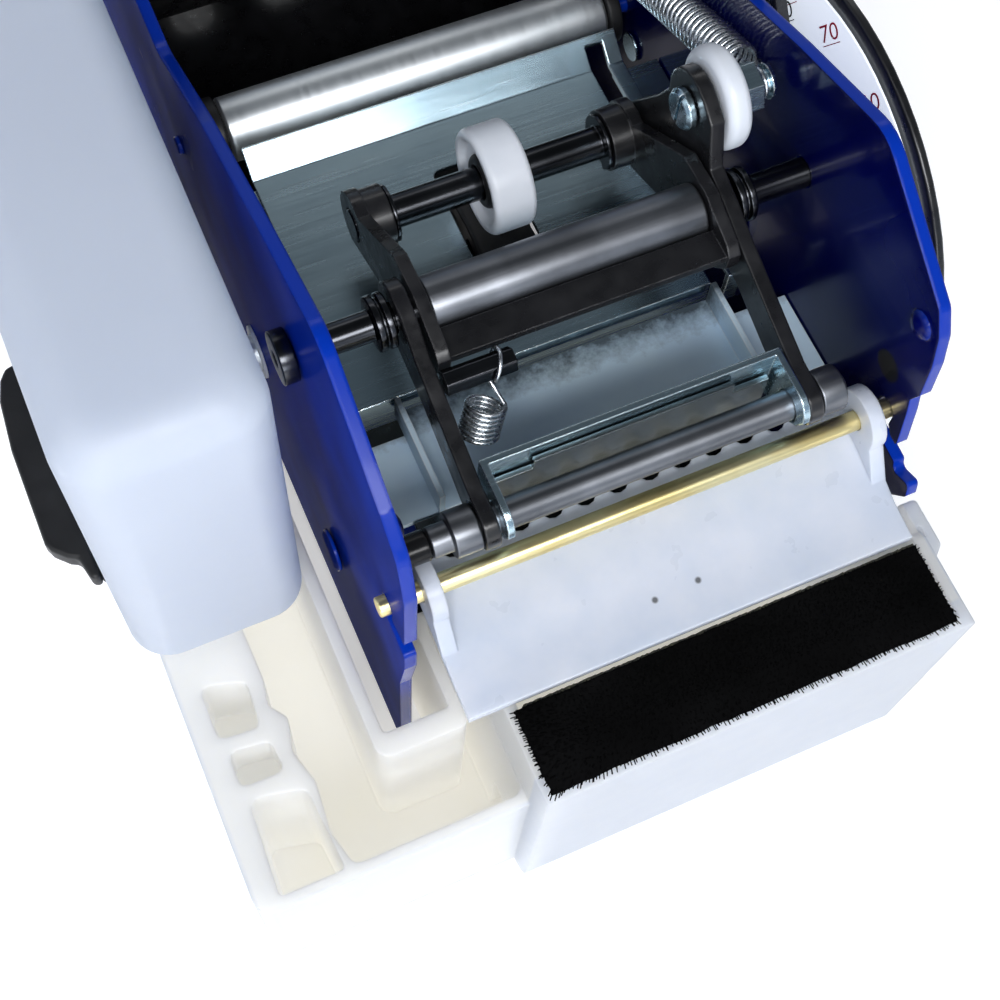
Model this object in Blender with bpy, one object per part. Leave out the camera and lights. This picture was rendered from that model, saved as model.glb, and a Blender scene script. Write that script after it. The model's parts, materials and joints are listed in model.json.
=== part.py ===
# Hand-lever dispenser for gummed paper tape.
# X runs to the right, Y to the back and Z up, in metres.
# Every piece is drawn in machine coordinates, with the middle of the tape path at X = 0,
# the brass rod of the pressure plate at Y = 0 and the table at Z = 0. One empty then moves
# the whole machine, so that the world origin is under the middle of its outline.

import math

import bmesh
import bpy
from mathutils import Matrix, Vector

for old in list(bpy.data.objects):
    bpy.data.objects.remove(old, do_unlink=True)

# Clearances
GAP = 0.0003                # between pieces that touch
RUN = 0.0002                # round a pin or shaft in its hole
EDGE = 0.0006               # small rounding of sheet and moulded edges

# Side frame
CLEAR_WIDTH = 0.102         # between the side plates
SIDE_SHEET = 0.0025
REAR_Y = 0.350
REAR_HEIGHT = 0.150
PLATE_BOTTOM = 0.0075
PLATE_FRONT_Y = -0.0090
PAN_SHEET = 0.0015
PAN_FRONT_Y = 0.012
FOOT_HALF = 0.0090

# Shaft centres, as (y, z)
ROD_AT = (0.0, 0.082)
PIVOT_AT = (0.044, 0.102)
FEED_AT = (0.0735, 0.053)
LEVER_AT = (0.061, 0.067)
FOLLOWER_AT = (0.0585, 0.114)
ENTRY_AT = (0.116, 0.072)
BASKET_Y = 0.243
BLADE_BAR_AT = (0.0045, 0.0915)
FRONT_TIE_AT = (0.030, 0.040)
REAR_TIE_AT = (0.336, 0.134)

# Shafts and rods
ROD_RADIUS = 0.0020
PIVOT_RADIUS = 0.0030
FEED_SHAFT_RADIUS = 0.0040
LEVER_SHAFT_RADIUS = 0.0040
BUSH_WALL = 0.0022
AXLE_RADIUS = 0.0020
TIE_RADIUS = 0.0035
SCREW_RADIUS = 0.0048
SCREW_HEAD = 0.0020
RIVET_RADIUS = 0.0030
RIVET_HEIGHT = 0.0016
RIVETS_AT = ((0.0025, 0.1103), (0.0120, 0.0600))

# Feed wheel, pressure wheel and entry roller
FEED_RADIUS = 0.0240
FEED_WIDTH = 0.0120
TYRE_DEPTH = 0.0030
PRESS_RADIUS = 0.0110
PRESS_WIDTH = 0.0090
TAPE_SPACE = 0.0004
PRESS_SHAFT_RADIUS = 0.0034
ENTRY_RADIUS = 0.0070
ENTRY_HALF = 0.0440
CAP_LENGTH = 0.0030

# Pressure frame and cutter frame
PRESS_ARM_OUTER = 0.0306
ARM_SHEET = 0.0025
CUTTER_ARM_INNER = 0.0313
CUTTER_ARM_SHEET = 0.0030
SPACER_RADIUS = 0.0055
FRAME_BOSS_RADIUS = 0.0064
CLIP_RADIUS = 0.0059
BLADE_BAR_RADIUS = 0.0030
BAR_LEFT_END = 0.0436        # beside the left ear of the white plate
BOSS_RADIUS = 0.0045
ARM_NOSE_RADIUS = 0.0050     # stays off the brass rod when the cutter is down
FOLLOWER_RADIUS = 0.0100
FOLLOWER_WIDTH = 0.0050
CAM_SHEET = 0.0024
POST_RADIUS = 0.0025
HEX_ACROSS = 0.0088
HEX_LENGTH = 0.0048
BLADE_SHEET = 0.0012
BRACKET_SHEET = 0.0014
BRACKET_HALF = 0.0305
BLADE_EDGE_ANGLE = math.radians(218.2)   # of the moving edge round the pivot, at rest
BLADE_EDGE_RADIUS = 0.0438
CUTTER_TRAVEL = math.radians(9.0)
SPRING_RADIUS = 0.0038      # of the wire's centre line

# Tables
TABLE_Z = 0.0740
TABLE_HALF = 0.0430
TABLE_FRONT_Y = 0.0420
TABLE_CREASE_Y = 0.1000
TABLE_LIP_Y = 0.1060
TABLE_SHEET = 0.0012
FRONT_TABLE_Z = 0.0700

# Gears, in stub involute form
COARSE = 0.00125            # module of the drive pair
FINE = 0.0010               # module of the lever pair
SECTOR_TEETH = 84
IDLER_PINION_TEETH = 12
IDLER_WHEEL_TEETH = 40
FEED_PINION_TEETH = 20
SECTOR_CUT_TEETH = 30
GEAR_FACE = 0.0030
PRESSURE_ANGLE = math.radians(25)
BACKLASH = 0.00012

# Lever and gauge
LEVER_ANGLE = math.radians(52)
LEVER_TRAVEL = math.radians(100)
LEVER_LENGTH = 0.245
LEVER_SHEET = 0.0030
GRIP_LENGTH = 0.105
GRIP_RADIUS = 0.0125
CAM_HUB = 0.0105
CAM_CLEARANCE = 0.0008      # between cam foot and follower at full pull
CAM_NOSE = ((-24, -0.0143), (-30, -0.0060), (-34, 0.0015), (-30, 0.0046), (-24, 0.0057), (-18, 0.0055),
            (-13, 0.0040), (-9, 0.0020), (-5, 0.0006), (2, -0.0004), (8, -0.0060), (16, -0.0180))
GAUGE_RADIUS = 0.0520
GAUGE_SHEET = 0.0020
GAUGE_GAP = 0.0145          # between the right side plate and the gauge plate
LABEL_SHEET = 0.0004
LABEL_RIM = 0.0035

# White pressure plate
SHOE_HALF = 0.0470
SHOE_EAR = 0.0030
SHOE_REACH = 0.0064         # of the scalloped edge behind the rod
SHOE_SHEET = 0.0020
SHOE_EAR_RADIUS = 0.0065
SHOE_FRONT_Y = -0.0232

# Water tank, brush and bottle
TANK_WALL = 0.0025
TANK_FLOOR = 0.0030
TANK_LEFT_X = -0.0950
TANK_SPLIT_X = -0.0400
SLIT_LEFT_X = -0.0442       # narrow channel beside the brush box
SLIT_RIGHT_X = -0.0402
TANK_RIGHT_X = 0.0535
TANK_FRONT_Y = -0.0380
TANK_REAR_Y = 0.1500
BRUSH_BOX_FRONT_Y = -0.0430
BRUSH_BOX_REAR_Y = 0.0060
TRAY_HEIGHT = 0.0520
BRUSH_BOX_HEIGHT = 0.0700
BRUSH_BOX_REAR_HEIGHT = 0.0640
BRUSH_TOP = BRUSH_BOX_HEIGHT + 0.0015
BOTTLE_LEFT_X = -0.0985
BOTTLE_RIGHT_X = -0.0635
BOTTLE_FRONT_Y = 0.0145
BOTTLE_REAR_Y = 0.1750
BOTTLE_TOP = 0.1430
NECK_RADIUS = 0.0120
NECK_AT = (-0.0810, 0.1000)
BRACKET_REACH = 0.0135

# Tape basket
BASKET_RADIUS = 0.1080
BASKET_FLOOR = 0.0220        # lowest line of the basket, clear of the pan
BASKET_SHEET = 0.0012
BASKET_ROLLER_RADIUS = 0.0080
BASKET_ROLLER_ANGLES = (math.radians(238), math.radians(302))
CHEEK_SHEET = 0.0030
CHEEK_HALF = 0.0445         # centre of a guide cheek from the middle
CHEEK_RADIUS = BASKET_RADIUS - 0.0240
CHEEK_EAR_RADIUS = BASKET_RADIUS - 0.0060   # of the ear that runs on the guide rod
SPRING_END_AT = (0.108, 0.0936)     # where the cutter spring is hung on the right plate

# Values worked out from the driving sizes
INSIDE = CLEAR_WIDTH / 2
OUTSIDE = INSIDE + SIDE_SHEET
GAUGE_X = OUTSIDE + GAUGE_GAP
DRIVE_X = OUTSIDE + 0.0014
LEVER_GEAR_X = DRIVE_X + GEAR_FACE + 0.0008
LEVER_X = LEVER_GEAR_X + GEAR_FACE + GAP
PRESS_AT = (FEED_AT[0], FEED_AT[1] + FEED_RADIUS + TAPE_SPACE + PRESS_RADIUS)
FOLLOWER_X = CUTTER_ARM_INNER + CUTTER_ARM_SHEET + 0.0007
HEX_X = FOLLOWER_X + FOLLOWER_WIDTH + GAP
CAM_X = FOLLOWER_X + (FOLLOWER_WIDTH - CAM_SHEET) / 2
BASKET_AT = (BASKET_Y, BASKET_FLOOR + BASKET_RADIUS)
GUIDE_ROD_AT = (BASKET_Y - BASKET_RADIUS + 0.025, BASKET_AT[1] - 0.048)
LEFT_EXTENT = TANK_LEFT_X - BRACKET_REACH
RIGHT_EXTENT = LEVER_X + LEVER_SHEET / 2 + GRIP_RADIUS
CENTRE_X = (LEFT_EXTENT + RIGHT_EXTENT) / 2
CENTRE_Y = (BRUSH_BOX_FRONT_Y + REAR_Y) / 2

COLOURS = {
    "blue_paint": ((0.004, 0.018, 0.30), 0.22, 0.0),
    "black_paint": ((0.012, 0.012, 0.013), 0.35, 0.0),
    "black_steel": ((0.020, 0.021, 0.022), 0.30, 0.6),
    "zinc": ((0.60, 0.64, 0.66), 0.28, 1.0),
    "bright_steel": ((0.62, 0.66, 0.70), 0.16, 1.0),
    "spring_steel": ((0.42, 0.44, 0.47), 0.25, 1.0),
    "brass": ((0.75, 0.52, 0.16), 0.22, 1.0),
    "nylon": ((0.86, 0.86, 0.86), 0.40, 0.0),
    "white_plastic": ((0.84, 0.85, 0.86), 0.38, 0.0),
    "ivory_plastic": ((0.84, 0.83, 0.79), 0.40, 0.0),
    "bottle_plastic": ((0.78, 0.82, 0.87), 0.35, 0.0),
    "black_plastic": ((0.015, 0.015, 0.016), 0.45, 0.0),
    "bristle": ((0.006, 0.006, 0.006), 0.85, 0.0),
    "olive_plastic": ((0.16, 0.16, 0.10), 0.55, 0.0),
    "rubber": ((0.018, 0.018, 0.018), 0.75, 0.0),
    "paper_label": ((0.82, 0.84, 0.88), 0.50, 0.0),
}

machine = bpy.data.objects.new("machine", None)
bpy.context.scene.collection.objects.link(machine)
machine.location = (-CENTRE_X, -CENTRE_Y, 0.0)


def finish(name):
    """The Principled material of one finish."""
    material = bpy.data.materials.get(name)
    if material is None:
        colour, roughness, metallic = COLOURS[name]
        material = bpy.data.materials.new(name)
        material.use_nodes = True
        shader = material.node_tree.nodes["Principled BSDF"]
        shader.inputs["Base Color"].default_value = (*colour, 1.0)
        shader.inputs["Roughness"].default_value = roughness
        shader.inputs["Metallic"].default_value = metallic
    return material


def piece(name, mesh_maker, look, origin=(0.0, 0.0, 0.0), bevel=0.0, hidden=False):
    """Make one named object from a bmesh, with its origin on its own axis."""
    mesh = bpy.data.meshes.new(name)
    bmesh.ops.translate(mesh_maker, verts=mesh_maker.verts, vec=-Vector(origin))
    bmesh.ops.recalc_face_normals(mesh_maker, faces=mesh_maker.faces)
    mesh_maker.to_mesh(mesh)
    mesh_maker.free()
    made = bpy.data.objects.new(name, mesh)
    made.location = origin
    made.parent = machine
    made.data.materials.append(finish(look))
    bpy.context.scene.collection.objects.link(made)
    mesh.shade_smooth()
    mesh.set_sharp_from_angle(angle=math.radians(35))
    if hidden:
        made.hide_render = True
        made.display_type = "WIRE"
    if bevel:
        edge = made.modifiers.new("edges", "BEVEL")
        edge.width = bevel
        edge.segments = 1
        edge.limit_method = "ANGLE"
        edge.angle_limit = math.radians(50)
    return made


def combine(target, tools, operation):
    """Cut, join or trim a piece by the shapes in tools, which stay as hidden guides."""
    for tool in tools:
        step = target.modifiers.new(operation.lower(), "BOOLEAN")
        step.operation = operation
        step.solver = "EXACT"
        step.object = tool


def guide(name, mesh_maker):
    return piece("guide_" + name, mesh_maker, "zinc", hidden=True)


def at_axis(centre, x=0.0):
    return (x, centre[0], centre[1])


AXES = {
    "X": lambda u, v, w: (w, u, v),
    "Y": lambda u, v, w: (u, w, v),
    "Z": lambda u, v, w: (u, v, w),
}


def slab(axis, outlines, low, high, into=None):
    """Extrude a flat outline, with any hole outlines after it, from low to high along an axis."""
    shape = into or bmesh.new()
    place = AXES[axis]
    layers = []
    for level in (low, high):
        layers.append([[shape.verts.new(place(u, v, level)) for u, v in loop] for loop in outlines])
    edges = []
    for loop in layers[0]:
        for index, vert in enumerate(loop):
            edges.append(shape.edges.new((vert, loop[(index + 1) % len(loop)])))
    partner = {}
    for lower, upper in zip(layers[0], layers[1]):
        partner.update(zip(lower, upper))
    filled = bmesh.ops.triangle_fill(shape, edges=edges, use_beauty=True)
    caps = [item for item in filled["geom"] if isinstance(item, bmesh.types.BMFace)]
    for face in caps:
        shape.faces.new([partner[vert] for vert in reversed(face.verts[:])])
    for lower, upper in zip(layers[0], layers[1]):
        count = len(lower)
        for index in range(count):
            following = (index + 1) % count
            shape.faces.new((lower[index], lower[following], upper[following], upper[index]))
    return shape


def box(low, high, into=None):
    """A block between two corners."""
    (x0, y0, z0), (x1, y1, z1) = low, high
    return slab("Z", [[(x0, y0), (x1, y0), (x1, y1), (x0, y1)]], z0, z1, into)


def turned(profile, axis, centre, segments=24, into=None):
    """Revolve a closed profile of (radius, station) points about an axis through centre."""
    shape = into or bmesh.new()
    place = AXES[axis]
    rings = []
    for radius, station in profile:
        if radius < 1e-7:
            rings.append([shape.verts.new(place(centre[0], centre[1], station))])
            continue
        ring = []
        for step in range(segments):
            angle = 2 * math.pi * step / segments
            u = centre[0] + radius * math.cos(angle)
            v = centre[1] + radius * math.sin(angle)
            ring.append(shape.verts.new(place(u, v, station)))
        rings.append(ring)
    for index, ring in enumerate(rings):
        other = rings[(index + 1) % len(rings)]
        if len(ring) == 1 and len(other) == 1:
            continue
        for step in range(segments):
            after = (step + 1) % segments
            if len(ring) == 1:
                shape.faces.new((ring[0], other[step], other[after]))
            elif len(other) == 1:
                shape.faces.new((ring[step], other[0], ring[after]))
            else:
                shape.faces.new((ring[step], other[step], other[after], ring[after]))
    return shape


def pin(radius, low, high, axis="X", centre=(0.0, 0.0), chamfer=0.0003, segments=16, into=None):
    """A plain shaft with chamfered ends."""
    profile = [(0.0, low), (radius - chamfer, low), (radius, low + chamfer),
               (radius, high - chamfer), (radius - chamfer, high), (0.0, high)]
    return turned(profile, axis, centre, segments, into)


def arc(centre, radius, start, end, steps):
    """Points along an arc, both ends included; angles in radians."""
    points = []
    for step in range(steps + 1):
        angle = start + (end - start) * step / steps
        points.append((centre[0] + radius * math.cos(angle), centre[1] + radius * math.sin(angle)))
    return points


def circle(centre, radius, steps=20):
    return arc(centre, radius, 0.0, 2 * math.pi * (steps - 1) / steps, steps - 1)


def rounded(corners, steps=4):
    """A closed outline whose corners, given as (u, v, radius), are rounded."""
    points = []
    count = len(corners)
    for index, (u, v, radius) in enumerate(corners):
        here = Vector((u, v))
        if radius <= 0:
            points.append((u, v))
            continue
        before = (Vector(corners[index - 1][:2]) - here).normalized()
        after = (Vector(corners[(index + 1) % count][:2]) - here).normalized()
        half = before.angle(after) / 2
        reach = radius / math.tan(half)
        middle = here + (before + after).normalized() * (radius / math.sin(half))
        first = here + before * reach - middle
        last = here + after * reach - middle
        start = math.atan2(first.y, first.x)
        sweep = (math.atan2(last.y, last.x) - start + math.pi) % (2 * math.pi) - math.pi
        points += arc(middle, radius, start, start + sweep, steps)
    return points


def towards(centre, angle, distance):
    return (centre[0] + distance * math.cos(angle), centre[1] + distance * math.sin(angle))


def wire(points, radius, sides=6, into=None):
    """Sweep a round section along a smooth line of points."""
    shape = into or bmesh.new()
    points = [Vector(point) for point in points]
    normal = None
    rings = []
    for index, point in enumerate(points):
        ahead = points[min(index + 1, len(points) - 1)] - points[max(index - 1, 0)]
        ahead.normalize()
        if normal is None:
            normal = ahead.orthogonal().normalized()
        normal = (normal - ahead * normal.dot(ahead)).normalized()
        side = ahead.cross(normal)
        ring = []
        for step in range(sides):
            angle = 2 * math.pi * step / sides
            offset = normal * math.cos(angle) + side * math.sin(angle)
            ring.append(shape.verts.new(point + offset * radius))
        rings.append(ring)
    for ring, other in zip(rings, rings[1:]):
        for step in range(sides):
            after = (step + 1) % sides
            shape.faces.new((ring[step], ring[after], other[after], other[step]))
    shape.faces.new(list(reversed(rings[0])))
    shape.faces.new(rings[-1])
    return shape


def coil_points(start, end, radius, turns, per_turn=10):
    """Points of a helix from start to end."""
    start, end = Vector(start), Vector(end)
    along = (end - start).normalized()
    first = along.orthogonal().normalized()
    second = along.cross(first)
    count = int(turns * per_turn)
    points = []
    for step in range(count + 1):
        angle = 2 * math.pi * step / per_turn
        offset = first * math.cos(angle) + second * math.sin(angle)
        points.append(start.lerp(end, step / count) + offset * radius)
    return points


def tooth(teeth, module, centre, middle):
    """The outline points of one stub involute tooth, from root to root."""
    pitch = teeth * module / 2
    base = pitch * math.cos(PRESSURE_ANGLE)
    tip = pitch + 0.8 * module
    root = pitch - 1.05 * module

    def involute(radius):
        ratio = math.acos(min(1.0, base / radius))
        return math.tan(ratio) - ratio

    thickness = (math.pi * module / 2 - BACKLASH) / 2 / pitch
    low = max(base, root)
    flank = []
    for share in (0.0, 0.5, 1.0):
        radius = low + (tip - low) * share
        flank.append((radius, thickness + involute(pitch) - involute(radius)))
    points = [towards(centre, middle - flank[0][1], root)] if root < base else []
    points += [towards(centre, middle - half, radius) for radius, half in flank]
    points += [towards(centre, middle + half, radius) for radius, half in reversed(flank)]
    if root < base:
        points.append(towards(centre, middle + flank[0][1], root))
    return points


def gear_outline(teeth, module, centre, first, count=None):
    """The toothed outline of a gear, with a tooth centred on the angle first."""
    points = []
    for index in range(count or teeth):
        points += tooth(teeth, module, centre, first + 2 * math.pi * index / teeth)
    return points


def meet(first, first_radius, second, second_radius):
    """The rear crossing point of two circles in the (y, z) plane."""
    a, b = Vector(first), Vector(second)
    apart = (b - a).length
    along = (first_radius ** 2 - second_radius ** 2 + apart ** 2) / (2 * apart)
    height = math.sqrt(first_radius ** 2 - along ** 2)
    line = (b - a).normalized()
    side = Vector((-line.y, line.x))
    if side.x < 0:
        side = -side
    point = a + line * along + side * height
    return (point.x, point.y)


IDLER_AT = meet(LEVER_AT, (SECTOR_TEETH + IDLER_PINION_TEETH) * FINE / 2,
                FEED_AT, (IDLER_WHEEL_TEETH + FEED_PINION_TEETH) * COARSE / 2)


def side_outline(side):
    """Edge of a side plate, as (y, z, corner radius); only the right one has a scalloped ledge."""
    slot = ROD_RADIUS + GAP
    front = PLATE_FRONT_Y
    rod_y, rod_z = ROD_AT
    if side < 0:
        lower = [
            (front + 0.0035, PLATE_BOTTOM, 0.002),
            (front + 0.0035, rod_z - 0.0320, 0.010),
            (front + 0.0010, rod_z - 0.0160, 0.006),
            (front + 0.0010, rod_z - 0.0088, 0.001),
        ]
        upper = [
            (rod_y - slot, rod_z - 0.0030, 0.0006),
            (rod_y - 0.0080, rod_z - 0.0022, 0.0015),
            (rod_y - 0.0081, rod_z + 0.0200, 0.006),
            (rod_y - 0.0050, rod_z + 0.0315, 0.006),
            (rod_y + 0.0020, rod_z + 0.0370, 0.005),
        ]
    else:
        lower = [
            (front, PLATE_BOTTOM, 0.002),
            (front - 0.0010, rod_z - 0.0200, 0.004),
            (front - 0.0056, rod_z - 0.0124, 0.0015),
            (front - 0.0046, rod_z - 0.0086, 0.0009),
            (front + 0.0002, rod_z - 0.0112, 0.0012),
            (front + 0.0010, rod_z - 0.0088, 0.0006),
        ]
        upper = [
            (rod_y - slot, rod_z - 0.0026, 0.0006),
            (rod_y - 0.0040, rod_z - 0.0044, 0.0006),
            (rod_y - 0.0064, rod_z - 0.0046, 0.0006),
            (rod_y - 0.0046, rod_z + 0.0060, 0.0010),
            (rod_y - 0.0036, rod_z + 0.0100, 0.0010),
            (rod_y - 0.0050, rod_z + 0.0140, 0.0015),
            (rod_y - 0.0040, rod_z + 0.0235, 0.004),
            (rod_y - 0.0022, rod_z + 0.0307, 0.004),
            (rod_y + 0.0008, rod_z + 0.0359, 0.003),
        ]
    corners = lower + [(rod_y + slot, rod_z - 0.0080, 0.001)]
    top = [(y, z, 0.0) for y, z in arc(ROD_AT, slot, 0.0, math.pi, 8)]
    rest = upper + [
        (rod_y + 0.0285, rod_z + 0.0518, 0.010),
        (rod_y + 0.0560, rod_z + 0.0430, 0.020),
        (rod_y + 0.0890, rod_z + 0.0310, 0.020),
        (rod_y + 0.1190, rod_z + 0.0160, 0.012),
        (rod_y + 0.1450, rod_z + 0.0180, 0.020),
        (rod_y + 0.1780, REAR_HEIGHT, 0.030),
        (REAR_Y, REAR_HEIGHT, 0.030),
        (REAR_Y, PLATE_BOTTOM, 0.004),
    ]
    return rounded(corners + top + rest, 4)


def basket_roller_at(angle):
    return towards(BASKET_AT, angle, BASKET_RADIUS - BASKET_ROLLER_RADIUS - 0.0015)


def side_plate(name, side):
    """One painted side plate with its shaft holes."""
    inner, outer = side * INSIDE, side * OUTSIDE
    holes = [(PIVOT_AT, PIVOT_RADIUS + RUN), (FEED_AT, FEED_SHAFT_RADIUS + BUSH_WALL)]
    rods = [ENTRY_AT, FRONT_TIE_AT, REAR_TIE_AT, GUIDE_ROD_AT]
    rods += [basket_roller_at(angle) for angle in BASKET_ROLLER_ANGLES]
    holes += [(centre, AXLE_RADIUS + RUN) for centre in rods]
    if side > 0:
        holes += [(LEVER_AT, LEVER_SHAFT_RADIUS + BUSH_WALL), (IDLER_AT, AXLE_RADIUS + RUN),
                  (SPRING_END_AT, AXLE_RADIUS)]
    plate = slab("X", [side_outline(side)], min(inner, outer), max(inner, outer))
    plate = piece(name, plate, "blue_paint", bevel=EDGE)
    drills = bmesh.new()
    for centre, radius in holes:
        slab("X", [circle(centre, radius, 14)], min(inner, outer) - 0.001, max(inner, outer) + 0.001, drills)
    combine(plate, [guide(name + "_holes", drills)], "DIFFERENCE")

    # Painted-over rivets stand proud of the inner face.
    domes = bmesh.new()
    for centre in RIVETS_AT:
        root = inner + side * SIDE_SHEET / 2
        dome = [(0.0, root)]
        for step in range(5):
            angle = math.pi / 2 * step / 4
            radius = RIVET_RADIUS * math.cos(angle)
            dome.append((radius if step < 4 else 0.0, inner - side * RIVET_HEIGHT * math.sin(angle)))
        dome.insert(1, (RIVET_RADIUS, root))
        turned(dome, "X", centre, 12, domes)
    combine(plate, [guide(name + "_rivets", domes)], "UNION")
    if side < 0:
        # A stub in line with the blade bar fills the space up to the left plate.
        stub = pin(BLADE_BAR_RADIUS, inner - SIDE_SHEET / 2, -BAR_LEFT_END - GAP, centre=BLADE_BAR_AT)
        combine(plate, [guide("bar_stub", stub)], "UNION")


def frame_pieces():
    side_plate("left_side_plate", -1)
    side_plate("right_side_plate", 1)

    # A folded pan under the machine ties the plates together.
    wide = INSIDE - GAP
    base = PLATE_BOTTOM - PAN_SHEET
    flange = 0.012
    section = [(-wide, base), (wide, base), (wide, base + flange), (wide - PAN_SHEET, base + flange),
               (wide - PAN_SHEET, base + PAN_SHEET), (-wide + PAN_SHEET, base + PAN_SHEET),
               (-wide + PAN_SHEET, base + flange), (-wide, base + flange)]
    pan = piece("base_pan", slab("Y", [section], PAN_FRONT_Y, REAR_Y - 0.004), "black_paint")
    opening = rounded([(-0.030, 0.080, 0.008), (0.030, 0.080, 0.008), (0.030, 0.150, 0.008),
                       (-0.030, 0.150, 0.008)])
    combine(pan, [guide("pan_window", slab("Z", [opening], 0.0, 0.02))], "DIFFERENCE")

    # Two ribbed rubber bars under the pan stop the machine from sliding.
    for name, y in (("front_foot", PAN_FRONT_Y + 0.016), ("rear_foot", REAR_Y - 0.022)):
        profile = [(y - FOOT_HALF, base - GAP), (y - FOOT_HALF, 0.0015), (y - FOOT_HALF + 0.0015, 0.0)]
        for share in (-0.4, 0.0, 0.4):
            middle = y + FOOT_HALF * share
            profile += [(middle - 0.0010, 0.0), (middle, 0.0012), (middle + 0.0010, 0.0)]
        profile += [(y + FOOT_HALF - 0.0015, 0.0), (y + FOOT_HALF, 0.0015), (y + FOOT_HALF, base - GAP)]
        piece(name, slab("X", [profile], -wide + 0.006, wide - 0.006), "rubber")

    # Round ties with shouldered ends that pass through the plates.
    short = INSIDE - GAP
    end = OUTSIDE + SCREW_HEAD
    for name, centre in (("front_tie", FRONT_TIE_AT), ("rear_tie", REAR_TIE_AT)):
        profile = [(0.0, -end), (0.0035, -end), (SCREW_RADIUS, -end + 0.0008), (SCREW_RADIUS, -OUTSIDE - GAP),
                   (0.0019, -OUTSIDE - GAP), (0.0019, -short), (TIE_RADIUS, -short), (TIE_RADIUS, short),
                   (0.0019, short), (0.0019, OUTSIDE + GAP), (SCREW_RADIUS, OUTSIDE + GAP),
                   (SCREW_RADIUS, end - 0.0008), (0.0035, end), (0.0, end)]
        piece(name, turned(profile, "X", centre, 12), "zinc", at_axis(centre))


def feed_pieces():
    """The wheel that pushes the tape, its shaft, bearings and pinion."""
    half = FEED_WIDTH / 2
    rim = FEED_RADIUS - TYRE_DEPTH
    tyre = [(rim + GAP, -half), (FEED_RADIUS - 0.0005, -half), (FEED_RADIUS, -half + 0.0005),
            (FEED_RADIUS, half - 0.0005), (FEED_RADIUS - 0.0005, half), (rim + GAP, half)]
    piece("feed_tyre", turned(tyre, "X", FEED_AT, 36), "rubber", at_axis(FEED_AT))
    web = [(FEED_SHAFT_RADIUS + GAP, -half - 0.005), (0.008, -half - 0.005), (0.008, -0.002),
           (rim - 0.003, -0.002), (rim - 0.003, -half), (rim, -half), (rim, half),
           (rim - 0.003, half), (rim - 0.003, 0.002), (0.008, 0.002), (0.008, half + 0.005),
           (FEED_SHAFT_RADIUS + GAP, half + 0.005)]
    piece("feed_hub", turned(web, "X", FEED_AT, 24), "black_plastic", at_axis(FEED_AT))
    shaft_end = DRIVE_X + GEAR_FACE - 0.0002
    shaft = pin(FEED_SHAFT_RADIUS, -OUTSIDE - 0.003, shaft_end, centre=FEED_AT, segments=20)
    piece("feed_shaft", shaft, "bright_steel", at_axis(FEED_AT))

    # Flanged bushes carry the feed shaft in both plates and the lever shaft in the right one.
    for name, side, centre in (("feed_bush_left", -1, FEED_AT), ("feed_bush_right", 1, FEED_AT),
                               ("lever_bush", 1, LEVER_AT)):
        stations = (side * (INSIDE - 0.0022), side * (INSIDE - GAP), side * (OUTSIDE + 0.0006))
        bore = FEED_SHAFT_RADIUS + RUN
        body = FEED_SHAFT_RADIUS + BUSH_WALL - RUN
        ring = [(bore, stations[0]), (body + 0.002, stations[0]), (body + 0.002, stations[1]),
                (body, stations[1]), (body, stations[2]), (bore, stations[2])]
        piece(name, turned(ring, "X", centre, 16), "nylon", at_axis(centre))

    to_feed = math.atan2(FEED_AT[1] - IDLER_AT[1], FEED_AT[0] - IDLER_AT[0])
    to_lever = math.atan2(LEVER_AT[1] - IDLER_AT[1], LEVER_AT[0] - IDLER_AT[0])
    step = math.pi / FEED_PINION_TEETH
    outline = gear_outline(FEED_PINION_TEETH, COARSE, FEED_AT, to_feed + math.pi + step)
    pinion = slab("X", [outline, circle(FEED_AT, FEED_SHAFT_RADIUS + GAP, 24)], DRIVE_X, DRIVE_X + GEAR_FACE)
    piece("feed_pinion", pinion, "bright_steel", at_axis(FEED_AT))

    # The idler is one turned blank with a large and a small ring of teeth.
    wheel = gear_outline(IDLER_WHEEL_TEETH, COARSE, IDLER_AT, to_feed)
    windows = []
    for index in range(5):
        start = index * 2 * math.pi / 5
        outer = arc(IDLER_AT, 0.0195, start + 0.16, start + 1.10, 4)
        inner = arc(IDLER_AT, 0.0105, start + 1.00, start + 0.26, 2)
        windows.append(outer + inner)
    bore = circle(IDLER_AT, AXLE_RADIUS + RUN, 20)
    idler = piece("idler_gear", slab("X", [wheel, bore] + windows, DRIVE_X, DRIVE_X + GEAR_FACE),
                  "bright_steel", at_axis(IDLER_AT))
    small = gear_outline(IDLER_PINION_TEETH, FINE, IDLER_AT, to_lever + math.pi / IDLER_PINION_TEETH)
    pinion = slab("X", [small, bore], DRIVE_X + GEAR_FACE - 0.0010, LEVER_GEAR_X + GEAR_FACE)
    combine(idler, [guide("idler_pinion", pinion)], "UNION")

    # The idler turns on a stud riveted to the right plate.
    end = LEVER_GEAR_X + GEAR_FACE
    stud = [(0.0, INSIDE - 0.0010), (0.0035, INSIDE - 0.0010), (0.0035, INSIDE - GAP),
            (AXLE_RADIUS, INSIDE - GAP),
            (AXLE_RADIUS, OUTSIDE + GAP), (0.0040, OUTSIDE + GAP), (0.0040, DRIVE_X - GAP),
            (AXLE_RADIUS, DRIVE_X - GAP), (AXLE_RADIUS, end + GAP), (0.0042, end + GAP),
            (0.0042, end + 0.0012), (0.0, end + 0.0012)]
    piece("idler_stud", turned(stud, "X", IDLER_AT, 16), "zinc", at_axis(IDLER_AT))


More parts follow.
